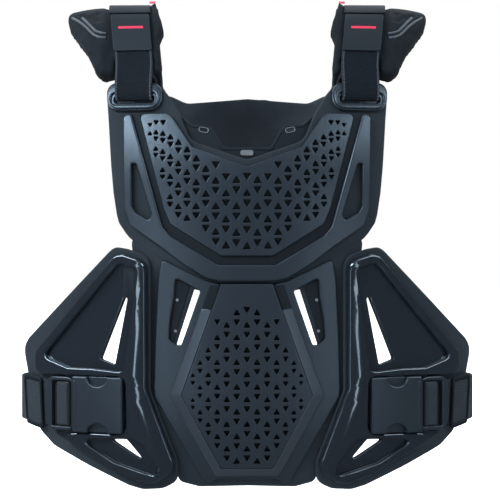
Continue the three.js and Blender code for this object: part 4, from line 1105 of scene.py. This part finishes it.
def tube(line, radius):
    """A round piping along points in metres, with closed ends."""
    curve = bpy.data.curves.new("piping", "CURVE")
    curve.dimensions = "3D"
    curve.bevel_depth = radius
    curve.bevel_resolution = 2
    curve.use_fill_caps = True
    spline = curve.splines.new("NURBS")
    spline.points.add(len(line) - 1)
    for point, spot in zip(spline.points, line):
        point.co = (*spot, 1)
    spline.use_endpoint_u = True
    spline.order_u = 4
    spare = bpy.data.objects.new("piping", curve)
    scene.collection.objects.link(spare)
    made = bmesh.new()
    made.from_mesh(spare.evaluated_get(bpy.context.evaluated_depsgraph_get()).to_mesh())
    bpy.data.objects.remove(spare)
    bpy.data.curves.remove(curve)
    bmesh.ops.remove_doubles(made, verts=made.verts, dist=1e-6)
    bmesh.ops.holes_fill(made, edges=[edge for edge in made.edges if edge.is_boundary], sides=0)
    return made


def laid(surface, line, side, rise):
    """Points of a line seen from the front, in mm, laid on the front of a surface."""
    found = []
    for (x, z), (next_x, next_z) in zip(line, line[1:]):
        for step in range(LAID_STEPS):
            share = step / LAID_STEPS
            spot = Vector((x + (next_x - x) * share, 0, z + (next_z - z) * share))
            start = Vector((spot.x * -side, -300, spot.z)) * MM
            hit, normal = surface.ray_cast(start, Vector((0, 1, 0)))[:2]
            if hit:
                found.append(hit + normal * rise)
    return found


# The piping's colour is lighter than the pad cloth: a painted highlight along the seams.
piping = Finish("seam_piping_painted_highlight", (0.0240, 0.0270, 0.0320), 0.62, sheen_weight=0.1, specular_ior_level=0.4)
piping.cloudy(400.0, 0.2, 0.5)
piping.relief(piping.noise(1400.0), 0.00012)

OUTER = PAD_WIDTH * 0.64 + 4
INNER = PAD_WIDTH * 0.28
BESIDE = TAPE_HALF + 1.5
pad_points = [
    (-INNER, 0.05), (-BESIDE, 0.05), (-BESIDE, 0.11), (BESIDE, 0.11), (BESIDE, 0.05), (OUTER * 0.56, 0.04),
    (OUTER * 0.66, 0.07), (OUTER * 0.97, 0.33), (OUTER, 0.4), (OUTER * 0.97, 0.54), (OUTER * 0.8, 0.68),
    (OUTER * 0.55, 0.75), (-INNER * 0.8, 0.76), (-INNER, 0.46), (-INNER * 1.14, 0.34), (-INNER * 1.26, 0.25),
    (-INNER * 1.06, 0.2),
]
PIPED_SEAMS = [
    [(-170.5, 6.0), (-162, 0.5), (-154.9, -5.6), (-146.6, -14.4), (-140.8, -17.3), (-134, -18)],
    [(-160.2, 5.0), (-154.4, -0.8), (-145.2, -10.5), (-139, -13), (-134, -13.6)],
]
CREASES = [[(-152.4, 7), (-145.2, 0.2)], [(-145.6, 10.4), (-142.7, 0.2)], [(-160, 8.5), (-152, 3.5)]]


def on_shoulder(band):
    """A pad's form: higher than the band beside the strap, and drooping less on its outer side."""
    def form(a, b, out):
        spot = band(a, b, out)
        crest = math.exp(-((b / band.length - 0.44) / 0.15) ** 2)
        inner, outer = limited((-a - TAPE_HALF) / 6), limited((a - TAPE_HALF) / 6)
        spot.z += crest * (INNER_RISE * inner + OUTER_RISE * outer + 0.5 * droop(a))
        return spot
    return form


def free_of_strap(spot):
    beside = abs(spot.x / MM) - SHOULDER_REACH * 0.97
    return 0.12 + 0.88 * limited((abs(beside) - 17) / 9)


for hand, side in SIDES:
    band = bands[hand]
    outline = eased([(a, share * band.length) for a, share in pad_points], 6)
    solid = folded(cut([outline], PAD_FRONT - PAD_THICKNESS + 0.6, PAD_FRONT - 0.2, 3.0, 4), 5, 5)
    solid = shaped(solid, on_shoulder(band))
    pad = swollen(solid, free_of_strap)
    surface = BVHTree.FromBMesh(pad)
    seams = [laid(surface, line, side, 0) for line in PIPED_SEAMS]
    folds = [laid(surface, line, side, 0) for line in CREASES]
    groove(pad.verts, seams, 0.0012, 0.0022)
    pad.normal_update()
    groove(pad.verts, folds, 0.0016, 0.0030)
    made_piece("shoulder_padding_" + hand, pad, cloth, ["shoulder_pad_" + hand], 60)
    surface = BVHTree.FromBMesh(pad)
    pipes = [tube(laid(surface, line, side, 0.0006), PIPING_RADIUS) for line in PIPED_SEAMS]
    made_piece("shoulder_piping_" + hand, together(*pipes), piping, (), 60)

# Strap tabs, keepers and edge tags: a rubbery grey tab sewn on over the strap with a zigzag stitch
# and a plain red bar, a dark band that keeps the strap on the pad, and a small red woven tag.
# The ends of a tab and a keeper, as shares of the strap's length from the front.
TAB = (0.13, 0.318)
KEEPER = (0.326, 0.485)
length = bands["left"].length
BAR = 0.235 * length
tab_low, tab_high = (share * length for share in TAB)
keeper_low, keeper_high = (share * length for share in KEEPER)
tab_finish = Finish("tab_rubber", (0.0068, 0.0086, 0.0108), 0.66, specular_ior_level=0.14)
across, along = tab_finish.drawn()
bar = (abs(across) < 12.0) * (abs(along - BAR) < 1.7)
zigzag = abs((along - (tab_low + 4.2)) - (abs((across % 4.0) - 2.0) - 1.0) * 1.6) < 0.38
grain = tab_finish.noise(1300.0, 3.0)
tab_finish.blend(bar, (0.42, 0.022, 0.050))
tab_finish.relief(grain * 0.6 + tab_finish.noise(200.0) * 0.6 + zigzag * 2.2 + bar * 0.8, 0.00018)
tab_finish.set("Roughness", grain * 0.1 + zigzag * 0.2 + 0.48)
tag_finish = Finish("red_woven_tag", (0.42, 0.025, 0.055), 0.7, sheen_weight=0.2)
tag_finish.blend(tag_finish.noise(500.0), (0.30, 0.015, 0.035))
tag_finish.relief(tag_finish.noise(1200.0), 0.0002)
BAND_TOP = TAPE_HALF_THICKNESS + SEAM
for hand, band in bands.items():
    tab = cut([strip(TAPE_HALF + 0.5, tab_low, tab_high)], BAND_TOP, BAND_TOP + 1.6, 0.5, 3)
    formed("strap_grey_tab_" + hand, folded(tab, 6, 3), band, tab_finish, ["strap_tab_" + hand])
    keeper = cut([strip(TAPE_HALF + 2, keeper_low, keeper_high)], BAND_TOP, BAND_TOP + 2.2, 0.7, 3)
    formed("strap_band_keeper_" + hand, folded(keeper, 6, 3), band, rubber,
           ["strap_keeper_" + hand])
    tag = cut([box((-TAPE_HALF - 4.4, 0.40 * length), 3, 3.4, 0.5)], PAD_FRONT + 8.4, PAD_FRONT + 9.8, 0.4)
    formed("red_edge_tag_" + hand, folded(tag, 3, 3), band, tag_finish, ["edge_tag_" + hand])
